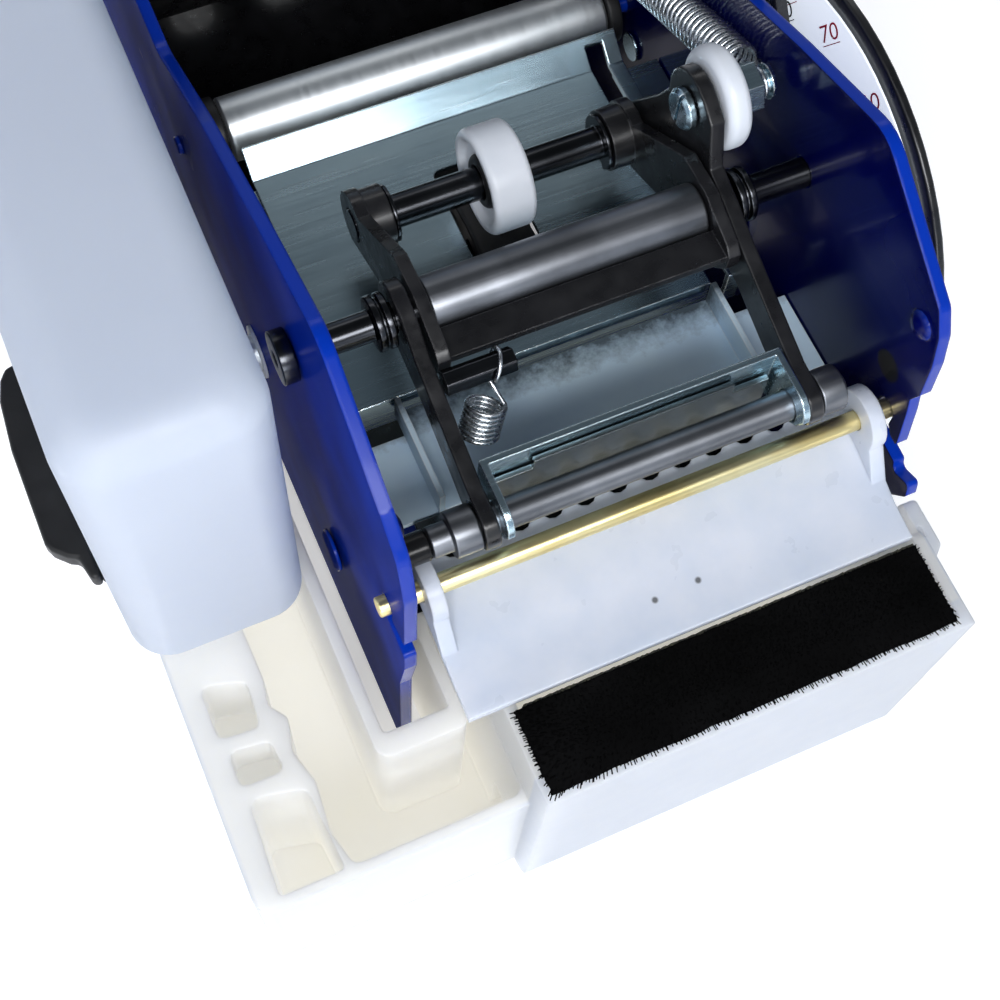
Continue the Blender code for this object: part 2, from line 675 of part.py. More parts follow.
def lever_pieces():
    """The hand lever with its sector gear, shaft, cam and grip."""
    to_idler = math.atan2(IDLER_AT[1] - LEVER_AT[1], IDLER_AT[0] - LEVER_AT[0])
    step = 2 * math.pi / SECTOR_TEETH
    ahead = 2
    last = to_idler + ahead * step
    first = last - (SECTOR_CUT_TEETH - 1) * step
    teeth = gear_outline(SECTOR_TEETH, FINE, LEVER_AT, first, SECTOR_CUT_TEETH)
    hub = arc(LEVER_AT, 0.0125, last + math.radians(62), first + 2 * math.pi - math.radians(62), 10)
    holes = [circle(LEVER_AT, LEVER_SHAFT_RADIUS + GAP, 24)]
    span = last - first
    for index in range(3):
        start = first + span * (index + 0.12) / 3
        end = first + span * (index + 0.88) / 3
        inner_arc = arc(LEVER_AT, 0.0185, end - 0.06, start + 0.06, 4)
        holes.append(arc(LEVER_AT, 0.0340, start, end, 6) + inner_arc)
    sector = slab("X", [teeth + hub] + holes, LEVER_GEAR_X, LEVER_GEAR_X + GEAR_FACE)
    piece("sector_gear", sector, "zinc", at_axis(LEVER_AT))

    # Flat lever bar: round hub, tapering to the tang inside the grip.
    tang = LEVER_LENGTH - GRIP_LENGTH
    corners = []
    for distance, half in ((0.010, 0.0115), (tang, 0.0080), (tang + 0.070, 0.0055)):
        corners.append((distance, half))
    edge = [towards(towards(LEVER_AT, LEVER_ANGLE, d), LEVER_ANGLE - math.pi / 2, h) for d, h in corners]
    back = [towards(towards(LEVER_AT, LEVER_ANGLE, d), LEVER_ANGLE + math.pi / 2, h)
            for d, h in reversed(corners)]
    round_hub = arc(LEVER_AT, 0.0135, LEVER_ANGLE + math.radians(75), LEVER_ANGLE + math.radians(285), 12)
    slot = [towards(LEVER_AT, LEVER_ANGLE, 0.030)]
    middle = towards(LEVER_AT, LEVER_ANGLE, 0.060)
    slot = arc(slot[0], 0.0035, LEVER_ANGLE + math.pi / 2, LEVER_ANGLE + 3 * math.pi / 2, 6)
    slot += arc(middle, 0.0028, LEVER_ANGLE - math.pi / 2, LEVER_ANGLE + math.pi / 2, 6)
    bar = slab("X", [edge + back + round_hub, circle(LEVER_AT, LEVER_SHAFT_RADIUS + GAP, 24), slot],
               LEVER_X, LEVER_X + LEVER_SHEET)
    piece("lever_bar", bar, "black_paint", at_axis(LEVER_AT), bevel=0.0004)

    # The grip is turned about the lever's own line, then slotted for the tang.
    shape = bmesh.new()
    stations = []
    for index in range(13):
        share = index / 12
        swell = 0.0016 * math.sin(math.pi * share * 4) ** 2 if share < 0.75 else 0.0
        radius = GRIP_RADIUS * (0.86 + 0.14 * share) - swell
        if index >= 10:
            radius = GRIP_RADIUS * math.sqrt(1 - ((index - 10) / 2) ** 2 * 0.92)
        stations.append((radius, share * GRIP_LENGTH))
    profile = [(0.0, 0.0)] + stations + [(0.0, GRIP_LENGTH + 0.0004)]
    turned(profile, "Z", (0.0, 0.0), 16, shape)
    lean = Matrix.Rotation(LEVER_ANGLE - math.pi / 2, 4, "X")
    start = towards(LEVER_AT, LEVER_ANGLE, tang)
    middle_x = LEVER_X + LEVER_SHEET / 2
    lean = Matrix.Translation((middle_x, start[0], start[1])) @ lean
    bmesh.ops.transform(shape, matrix=lean, verts=shape.verts)
    grip = piece("lever_grip", shape, "black_plastic", at_axis(LEVER_AT))
    cut = []
    for distance, half in ((-0.004, 0.0086), (0.0, 0.0083), (0.0715, 0.0058)):
        cut.append((tang + distance, half))
    sides = [towards(towards(LEVER_AT, LEVER_ANGLE, d), LEVER_ANGLE - math.pi / 2, h) for d, h in cut]
    sides += [towards(towards(LEVER_AT, LEVER_ANGLE, d), LEVER_ANGLE + math.pi / 2, h)
              for d, h in reversed(cut)]
    slot = slab("X", [sides], LEVER_X - GAP, LEVER_X + LEVER_SHEET + GAP)
    combine(grip, [guide("grip_slot", slot)], "DIFFERENCE")

    # One shaft carries cam, sector and lever, and its end turns in the gauge plate.
    face = GAUGE_X + GAUGE_SHEET
    start, body = FOLLOWER_X - 0.0012, LEVER_SHAFT_RADIUS
    shaft = [(0.0, start), (body - 0.0004, start), (body, start + 0.0004), (body, face + GAP),
             (0.0072, face + GAP), (0.0072, face + 0.0016), (0.0055, face + 0.0034), (0.0, face + 0.0036)]
    piece("lever_shaft", turned(shaft, "X", LEVER_AT, 20), "zinc", at_axis(LEVER_AT))

    # The cam points back at rest. Its foot comes just short of the follower at the end of
    # the pull, so that the last push of the lever brings the blade down. It can't swing
    # further forward, because the pivot shaft stands in front of the follower.
    to_follower = math.atan2(FOLLOWER_AT[1] - LEVER_AT[1], FOLLOWER_AT[0] - LEVER_AT[0])
    reach = math.hypot(FOLLOWER_AT[0] - LEVER_AT[0], FOLLOWER_AT[1] - LEVER_AT[1])
    foot = reach - FOLLOWER_RADIUS - CAM_CLEARANCE
    outline = []
    for degrees, rise in CAM_NOSE:
        outline.append(towards(LEVER_AT, to_follower - LEVER_TRAVEL + math.radians(degrees), foot + rise))
    back = to_follower - LEVER_TRAVEL
    outline += arc(LEVER_AT, CAM_HUB, back + math.radians(60), back + math.radians(330), 12)
    cam = slab("X", [outline, circle(LEVER_AT, LEVER_SHAFT_RADIUS + GAP, 20)], CAM_X, CAM_X + CAM_SHEET)
    piece("cutter_cam", cam, "black_steel", at_axis(LEVER_AT))


def gauge_pieces():
    """The round gauge plate outside the gears, with its label and stand-offs."""
    centre = LEVER_AT
    skirt = 0.0160
    half = GAUGE_RADIUS - 0.004
    outline = arc(centre, GAUGE_RADIUS, math.radians(-22), math.radians(202), 36)
    outline += [(centre[0] - half, skirt + 0.006), (centre[0] - half + 0.006, skirt),
                (centre[0] + half - 0.006, skirt), (centre[0] + half, skirt + 0.006)]
    posts = [(centre[0] - 0.040, skirt + 0.012), (centre[0] + 0.040, skirt + 0.012),
             towards(centre, math.radians(186), GAUGE_RADIUS - 0.006)]
    holes = [circle(centre, LEVER_SHAFT_RADIUS + RUN, 20)]
    plate = slab("X", [outline] + holes, GAUGE_X, GAUGE_X + GAUGE_SHEET)
    gauge = piece("gauge_plate", plate, "black_paint", bevel=0.0004)

    rim = GAUGE_RADIUS - LABEL_RIM
    start, end = math.radians(8), math.radians(172)
    label = arc(centre, rim, start, end, 28) + arc(centre, 0.0150, end, start, 12)
    band = slab("X", [label], GAUGE_X - GAP - LABEL_SHEET, GAUGE_X - GAP)
    piece("gauge_label", band, "paper_label")

    # Stand-offs riveted into the gauge plate hold it clear of the gears.
    standoffs = bmesh.new()
    face = GAUGE_X + GAUGE_SHEET
    for post in posts:
        profile = [(0.0, OUTSIDE + GAP), (0.0036, OUTSIDE + GAP), (0.0036, face - 0.0004),
                   (0.0042, face - 0.0004), (0.0038, face + 0.0018), (0.0, face + 0.0024)]
        turned(profile, "X", post, 12, standoffs)
    combine(gauge, [guide("gauge_standoffs", standoffs)], "UNION")


def roller(name, centre, radius, half, bore, look):
    profile = [(bore, -half), (radius - 0.0006, -half), (radius, -half + 0.0006),
               (radius, half - 0.0006), (radius - 0.0006, half), (bore, half)]
    return piece(name, turned(profile, "X", centre, 28), look, at_axis(centre))


def entry_pieces():
    """The bright roller that the tape comes over, and the table in front of it."""
    roller("entry_roller", ENTRY_AT, ENTRY_RADIUS, ENTRY_HALF, 0.0030, "bright_steel")
    for name, side in (("roller_cap_left", -1), ("roller_cap_right", 1)):
        low, high = side * (ENTRY_HALF + GAP), side * (ENTRY_HALF + GAP + CAP_LENGTH)
        ring = [(AXLE_RADIUS + RUN, low), (0.0078, low), (0.0078, (low + high) / 2), (0.0066, high),
                (AXLE_RADIUS + RUN, high)]
        piece(name, turned(ring, "X", ENTRY_AT, 18), "black_plastic", at_axis(ENTRY_AT))
    axle = pin(AXLE_RADIUS, -OUTSIDE - 0.001, OUTSIDE + 0.001, centre=ENTRY_AT, segments=12)
    piece("roller_axle", axle, "zinc", at_axis(ENTRY_AT))

    # Rear table: flat behind the cutter, creased up to a lip under the roller.
    t = TABLE_SHEET
    top = TABLE_Z
    lip_z = TABLE_Z + 0.0042
    section = [(TABLE_FRONT_Y, top - 0.010), (TABLE_FRONT_Y + t, top - 0.010), (TABLE_FRONT_Y + t, top - t),
               (TABLE_CREASE_Y + 0.0004, top - t), (TABLE_LIP_Y, lip_z - t), (TABLE_LIP_Y, lip_z),
               (TABLE_CREASE_Y, top), (TABLE_FRONT_Y, top)]
    table = slab("X", [section], -TABLE_HALF, TABLE_HALF)
    table = piece("tape_table", table, "zinc")
    reach = math.sqrt(FEED_RADIUS ** 2 - (TABLE_Z - t - FEED_AT[1]) ** 2) + 0.0015
    wide = FEED_WIDTH / 2 + 0.0015
    window = rounded([(-wide, FEED_AT[0] - reach, 0.002), (wide, FEED_AT[0] - reach, 0.002),
                      (wide, FEED_AT[0] + reach, 0.002), (-wide, FEED_AT[0] + reach, 0.002)])
    combine(table, [guide("table_window", slab("Z", [window], top - 0.004, top + 0.004))], "DIFFERENCE")

    # Turned-down side flanges fix the table to the plates.
    slot = box((CAM_X - 0.0009, 0.0400, top - 0.0150), (CAM_X + CAM_SHEET + 0.0009, 0.1045, top + 0.0060))
    brackets = bmesh.new()
    for side in (-1, 1):
        wall = side * (INSIDE - GAP)
        inner = side * (INSIDE - GAP - t)
        shelf = side * (CAM_X + CAM_SHEET + 0.0011)
        under = top - t + 0.0002
        profile = [(wall, under - 0.012), (wall, under), (shelf, under), (shelf, under - t),
                   (inner, under - t), (inner, under - 0.012)]
        slab("Y", [profile], 0.0790, 0.0985, brackets)
    combine(table, [guide("table_flanges", brackets)], "UNION")
    combine(table, [guide("cam_slot", slot)], "DIFFERENCE")

    # Front table with upright side guides, and the fixed blade on its front edge.
    edge = towards(PIVOT_AT, BLADE_EDGE_ANGLE + CUTTER_TRAVEL, BLADE_EDGE_RADIUS - 0.0008)
    back_y = TABLE_FRONT_Y - 0.0012
    z = FRONT_TABLE_Z
    width = CAM_X - 0.0020
    sheet = rounded([(-width - t, z - t, 0.001), (-width - t, z + 0.0065, 0), (-width, z + 0.0065, 0),
                     (-width, z, 0), (width, z, 0), (width, z + 0.0065, 0), (width + t, z + 0.0065, 0),
                     (width + t, z - t, 0.001)], 2)
    front = piece("front_table", slab("Y", [sheet], edge[0] + 0.0030, back_y), "zinc")
    legs = bmesh.new()
    for side in (-1, 1):
        wall = side * (INSIDE - GAP)
        foot = side * (width - 0.004)
        under = z - t + 0.0002
        profile = [(wall, under - 0.016), (wall, under), (foot, under), (foot, under - t),
                   (wall - side * t, under - t), (wall - side * t, under - 0.016)]
        slab("Y", [profile], 0.0180, 0.0360, legs)
    combine(front, [guide("front_flanges", legs)], "UNION")
    blade = [(edge[0] + 0.0003, z), (edge[0] + 0.0027, z), (edge[0] + 0.0027, z - 0.014),
             (edge[0] + 0.0009, z - 0.014)]
    piece("fixed_blade", slab("X", [blade], -0.0410, 0.0410), "bright_steel")


def pivot_pieces():
    """The shaft that both frames swing on, with a head outside each plate."""
    tip, under = OUTSIDE + 0.0034, OUTSIDE + GAP
    profile = [(0.0, -tip), (0.0042, -tip), (0.0052, -tip + 0.0010), (0.0052, -under), (PIVOT_RADIUS, -under),
               (PIVOT_RADIUS, under), (0.0052, under), (0.0052, tip - 0.0010), (0.0042, tip), (0.0, tip)]
    piece("pivot_shaft", turned(profile, "X", PIVOT_AT, 20), "bright_steel", at_axis(PIVOT_AT))


def pressure_frame_pieces():
    """The frame that holds the white wheel down on the tape."""
    outer = PRESS_ARM_OUTER
    inner = outer - ARM_SHEET
    axle = PRESS_AT
    frame = bmesh.new()
    for side in (-1, 1):
        outline = arc(axle, FRAME_BOSS_RADIUS + 0.0006, math.radians(-80), math.radians(115), 9)
        outline += [(0.0520, 0.1085)]
        outline += arc(PIVOT_AT, 0.0068, math.radians(80), math.radians(120), 3)
        outline += [(0.0330, 0.1055), (0.0312, 0.1035), (0.0312, 0.1000), (0.0345, 0.0955), (0.0480, 0.0930)]
        holes = [circle(PIVOT_AT, PIVOT_RADIUS + RUN, 16), circle(axle, PRESS_SHAFT_RADIUS + GAP, 16)]
        slab("X", [outline] + holes, min(side * inner, side * outer), max(side * inner, side * outer), frame)
    frame = piece("pressure_frame", frame, "black_paint", at_axis(PIVOT_AT))
    plate = box((-inner - 0.0004, 0.0318, 0.1014), (inner + 0.0004, 0.0382, 0.1032))
    bosses = bmesh.new()
    for side in (-1, 1):
        near, far = side * (inner + 0.0004), side * (inner - 0.0045)
        ring = [(PRESS_SHAFT_RADIUS + GAP, near), (FRAME_BOSS_RADIUS, near), (FRAME_BOSS_RADIUS, far),
                (PRESS_SHAFT_RADIUS + GAP, far)]
        turned(ring, "X", axle, 20, bosses)
    combine(frame, [guide("cross_plate", plate), guide("frame_bosses", bosses)], "UNION")

    tube = [(PIVOT_RADIUS + RUN, -inner + GAP), (SPACER_RADIUS, -inner + GAP), (SPACER_RADIUS, inner - GAP),
            (PIVOT_RADIUS + RUN, inner - GAP)]
    piece("spacer_tube", turned(tube, "X", PIVOT_AT, 24), "black_steel", at_axis(PIVOT_AT))

    length = outer + 0.0003
    shaft = pin(PRESS_SHAFT_RADIUS, -length, length, centre=axle, segments=14)
    shaft = piece("pressure_shaft", shaft, "black_steel", at_axis(axle))
    clips = bmesh.new()
    for side in (-1, 1):
        far = side * (inner - 0.0045)
        near, far = far - side * GAP, far - side * 0.0011
        gap = math.radians(40)
        outline = arc(axle, CLIP_RADIUS, gap - math.pi / 2, 3 * math.pi / 2 - gap, 10)
        outline += arc(axle, PRESS_SHAFT_RADIUS - GAP, 3 * math.pi / 2 - gap, gap - math.pi / 2, 6)
        slab("X", [outline], min(near, far), max(near, far), clips)
    combine(shaft, [guide("shaft_clips", clips)], "UNION")

    half = PRESS_WIDTH / 2
    bore = PRESS_SHAFT_RADIUS + RUN
    wheel = [(bore, -half * 0.8), (bore + 0.0018, -half * 0.8), (bore + 0.0022, -half * 0.55),
             (PRESS_RADIUS - 0.0030, -half * 0.55), (PRESS_RADIUS - 0.0022, -half),
             (PRESS_RADIUS - 0.0008, -half), (PRESS_RADIUS, -half + 0.0012), (PRESS_RADIUS, half - 0.0012),
             (PRESS_RADIUS - 0.0008, half), (PRESS_RADIUS - 0.0022, half),
             (PRESS_RADIUS - 0.0030, half * 0.55),
             (bore + 0.0022, half * 0.55), (bore + 0.0018, half * 0.8), (bore, half * 0.8)]
    piece("pressure_wheel", turned(wheel, "X", axle, 24), "nylon", at_axis(axle))


def cutter_arm(side, tail):
    """The side arm of the cutter frame, as an outline in (y, z)."""
    bar = BLADE_BAR_AT
    outline = arc(bar, ARM_NOSE_RADIUS, math.radians(110), math.radians(262), 8)
    outline += [(0.0062, 0.0858), (0.0150, 0.0890), (0.0300, 0.0935)]
    outline += arc(PIVOT_AT, 0.0070, math.radians(-95), math.radians(-20), 4)
    if tail:
        outline += [(0.0620, 0.0905), (0.0745, 0.0850), (0.0772, 0.0930), (0.0690, 0.1050)]
        outline += arc(FOLLOWER_AT, 0.0076, math.radians(-20), math.radians(125), 7)
        outline += [(0.0505, 0.1180), (0.0475, 0.1085), (0.0400, 0.1062)]
    else:
        outline += arc(PIVOT_AT, 0.0070, math.radians(0), math.radians(80), 4)
        outline += [(0.0400, 0.1080)]
    outline += [(0.0330, 0.1035), (0.0095, 0.0966)]
    holes = [circle(PIVOT_AT, PIVOT_RADIUS + RUN, 16), circle(bar, BLADE_BAR_RADIUS + GAP, 16)]
    if tail:
        holes.append(circle(FOLLOWER_AT, POST_RADIUS + GAP, 16))
    inner, outer = side * CUTTER_ARM_INNER, side * (CUTTER_ARM_INNER + CUTTER_ARM_SHEET)
    return slab("X", [outline] + holes, min(inner, outer), max(inner, outer))


def hexagon(centre, across, start=0.0):
    radius = across / math.sqrt(3)
    return [towards(centre, start + index * math.pi / 3, radius) for index in range(6)]


def cutter_pieces():
    """The swinging cutter frame with blade, follower post and springs."""
    arm_out = CUTTER_ARM_INNER + CUTTER_ARM_SHEET
    pivot = at_axis(PIVOT_AT)
    left = piece("cutter_left_arm", cutter_arm(-1, False), "black_paint", pivot)
    right = piece("cutter_right_arm", cutter_arm(1, True), "black_paint", pivot)

    # The bar that carries the blade has a collar outside each arm; its left end is longer.
    left_end, right_end = -BAR_LEFT_END, arm_out + 0.0062
    near, far = arm_out + GAP, arm_out + 0.0054
    bar = [(0.0, left_end), (BLADE_BAR_RADIUS, left_end), (BLADE_BAR_RADIUS, -far),
           (BOSS_RADIUS - 0.0005, -far),
           (BOSS_RADIUS, -far + 0.0005), (BOSS_RADIUS, -near), (BLADE_BAR_RADIUS, -near),
           (BLADE_BAR_RADIUS, near), (BOSS_RADIUS, near), (BOSS_RADIUS, far - 0.0005),
           (BOSS_RADIUS - 0.0005, far), (BLADE_BAR_RADIUS, far), (BLADE_BAR_RADIUS, right_end),
           (0.0, right_end)]
    piece("blade_bar", turned(bar, "X", BLADE_BAR_AT, 20), "black_steel", pivot)

    # Folded U bracket: a rear wall and two ears that the bar passes through.
    t = BRACKET_SHEET
    wide = BRACKET_HALF
    rear_y = 0.0132
    top = 0.0985
    wall = box((-wide, rear_y - t, 0.0835), (wide, rear_y, top))
    bracket = piece("blade_bracket", wall, "zinc", pivot)
    ears = bmesh.new()
    for side in (-1, 1):
        outline = [(rear_y, 0.0840), (rear_y, top), (0.0080, top)]
        outline += arc((0.0040, 0.0935), 0.0050, math.radians(90), math.radians(180), 4)
        outline += [(0.0004, 0.0903), (0.0036, 0.0868)]
        inner, outer = side * (wide - t), side * wide
        hole = circle(BLADE_BAR_AT, BLADE_BAR_RADIUS + GAP, 16)
        slab("X", [outline, hole], min(inner, outer), max(inner, outer), ears)
    combine(bracket, [guide("bracket_ears", ears)], "UNION")

    # Moving blade: a bevelled strip screwed to the bracket's front, notched at both ends.
    tip = towards(PIVOT_AT, BLADE_EDGE_ANGLE, BLADE_EDGE_RADIUS)
    blade_top = 0.0955
    front = rear_y - t - GAP
    strip = [(front, blade_top), (front - BLADE_SHEET, blade_top), (front - BLADE_SHEET, 0.0800),
             (tip[0], tip[1]), (tip[0] + 0.0006, tip[1]), (front, 0.0810)]
    blade = slab("X", [strip], -wide + t + 0.0008, wide - t - 0.0008)
    blade = piece("moving_blade", blade, "bright_steel", pivot)
    notches = bmesh.new()
    for side in (-1, 1):
        near, far = side * (wide - 0.0100), side * (wide + 0.001)
        box((min(near, far), rear_y - 0.006, 0.0925), (max(near, far), rear_y + 0.003, 0.0975), notches)
    combine(blade, [guide("blade_notches", notches)], "DIFFERENCE")

    # Follower post: slotted screw head inside, hexagon and grooved end outside.
    head = CUTTER_ARM_INNER - GAP
    post = turned([(0.0, head - 0.0020), (0.0035, head - 0.0020), (0.0042, head - 0.0012), (0.0042, head),
                   (POST_RADIUS, head), (POST_RADIUS, arm_out + GAP), (0.0038, arm_out + GAP),
                   (0.0038, FOLLOWER_X - GAP), (POST_RADIUS, FOLLOWER_X - GAP),
                   (POST_RADIUS, HEX_X + 0.0002), (0.0, HEX_X + 0.0002)],
                  "X", FOLLOWER_AT, 16)
    post = piece("follower_post", post, "zinc", pivot)
    nut = slab("X", [hexagon(FOLLOWER_AT, HEX_ACROSS, math.radians(10))], HEX_X, HEX_X + HEX_LENGTH)
    hex_end = HEX_X + HEX_LENGTH
    neck = [(0.0, hex_end - 0.0008), (0.0036, hex_end - 0.0008), (0.0036, hex_end + 0.0006),
            (0.0022, hex_end + 0.0006), (0.0022, hex_end + 0.0024), (0.0036, hex_end + 0.0024),
            (0.0032, hex_end + 0.0034), (0.0, hex_end + 0.0034)]
    slot = box((head - 0.0030, FOLLOWER_AT[0] - 0.0004, FOLLOWER_AT[1] - 0.006),
               (head - 0.0012, FOLLOWER_AT[0] + 0.0004, FOLLOWER_AT[1] + 0.006))
    combine(post, [guide("post_nut", nut), guide("post_neck", turned(neck, "X", FOLLOWER_AT, 16))], "UNION")
    combine(post, [guide("post_slot", slot)], "DIFFERENCE")

    half = FOLLOWER_WIDTH / 2
    mid = FOLLOWER_X + half
    bore = POST_RADIUS + RUN
    rim, corner = FOLLOWER_RADIUS, 0.0016
    wheel = [(bore, mid - half), (rim - corner, mid - half), (rim, mid - half + corner),
             (rim, mid + half - corner), (rim - corner, mid + half), (bore, mid + half)]
    piece("cam_follower", turned(wheel, "X", FOLLOWER_AT, 28), "nylon", at_axis(FOLLOWER_AT))

    # The main spring hangs in the post's groove and on a pin in the right plate.
    hook_x = hex_end + 0.0012
    start = Vector((hook_x, FOLLOWER_AT[0], FOLLOWER_AT[1]))
    end = Vector((hook_x, SPRING_END_AT[0], SPRING_END_AT[1]))
    along = (end - start).normalized()
    coil_from = start + along * 0.0068
    coil_to = end - along * 0.0062
    turns = int((coil_to - coil_from).length / 0.00205)
    coil = coil_points(coil_from, coil_to, SPRING_RADIUS, turns, 9)
    loop = spring_loop(start, along, 0.0022 + 0.00075, coil[0])
    tail = spring_loop(end, -along, 0.0016 + 0.00075, coil[-1])
    line = list(reversed(loop)) + coil[1:-1] + tail
    piece("cutter_spring", wire(line, 0.00055, 5), "spring_steel")
    anchor = [(0.0, OUTSIDE + 0.0012), (0.0034, OUTSIDE + 0.0012), (0.0034, OUTSIDE + GAP),
              (0.0015, OUTSIDE + GAP),
              (0.0015, hook_x + 0.0010), (0.0015, hook_x - 0.0012), (0.0026, hook_x - 0.0012),
              (0.0026, hook_x - 0.0022), (0.0, hook_x - 0.0022)]
    piece("spring_anchor", turned(anchor, "X", SPRING_END_AT, 12), "zinc")

    # Hexagonal stud on the left arm, with a light spring down to the bracket.
    stud_at = (0.0280, 0.1020)
    stud = slab("X", [hexagon(stud_at, 0.0044, 0.2)], -CUTTER_ARM_INNER + GAP, -0.0172)
    piece("left_stud", stud, "black_steel", pivot)
    top_end = Vector((-0.0235, stud_at[0] - 0.0038, stud_at[1] - 0.0045))
    low_end = Vector((-0.0277, stud_at[0] - 0.0075, stud_at[1] - 0.0128))
    small = coil_points(top_end, low_end, 0.0028, 9, 8)
    piece("blade_spring", wire(small, 0.00038, 4), "spring_steel")
    return left, right


def spring_loop(centre, along, radius, coil_end):
    """The end loop of a spring round a pin along X, opened out to meet the coil."""
    up = Vector((1.0, 0.0, 0.0)).cross(along)
    points = []
    for step in range(11):
        angle = math.radians(25 + 29 * step)
        points.append(centre - along * (-math.cos(angle) * radius) + up * math.sin(angle) * radius)
    points.reverse()
    lead = coil_end.lerp(points[0], 0.35)
    return [coil_end, lead] + points


def shoe_pieces():
    """The brass rod and the white plate that presses the tape on the brush."""
    rod = pin(ROD_RADIUS, -OUTSIDE - 0.0020, OUTSIDE + 0.0020, centre=ROD_AT, segments=16)
    piece("brass_rod", rod, "brass", at_axis(ROD_AT))
    y0, z0 = ROD_AT
    t = SHOE_SHEET
    section = [(y0 + SHOE_REACH, z0 - 0.0038), (y0 - 0.0045, z0 - 0.0058), (y0 - 0.0160, z0 - 0.0092),
               (SHOE_FRONT_Y, z0 - 0.0100), (SHOE_FRONT_Y, z0 - 0.0100 - t), (y0 - 0.0155, z0 - 0.0092 - t),
               (y0 - 0.0040, z0 - 0.0058 - t), (y0 + SHOE_REACH, z0 - 0.0040 - t * 0.6)]
    plate = slab("X", [section], -SHOE_HALF, SHOE_HALF)
    plate = piece("pressure_plate", plate, "white_plastic", at_axis(ROD_AT))
    ears = bmesh.new()
    for side in (-1, 1):
        outline = arc(ROD_AT, SHOE_EAR_RADIUS, math.radians(-10), math.radians(190), 12)
        outline += [(y0 - 0.0125, z0 - 0.0098), (y0 + 0.0036, z0 - 0.0060)]
        outer, inner = side * (SHOE_HALF + 0.0001), side * (SHOE_HALF - SHOE_EAR)
        hole = circle(ROD_AT, ROD_RADIUS + RUN, 16)
        slab("X", [outline, hole], min(inner, outer), max(inner, outer), ears)
    combine(plate, [guide("shoe_ears", ears)], "UNION")
    scallops = bmesh.new()
    count = 12
    pitch = 2 * (SHOE_HALF - 0.006) / count
    for index in range(count):
        x = -SHOE_HALF + 0.006 + pitch * (index + 0.5)
        turned([(0.0, z0 - 0.010), (pitch * 0.36, z0 - 0.010), (pitch * 0.36, z0), (0.0, z0)],
               "Z", (x, y0 + SHOE_REACH + 0.0012), 12, scallops)
    combine(plate, [guide("scallops", scallops)], "DIFFERENCE")


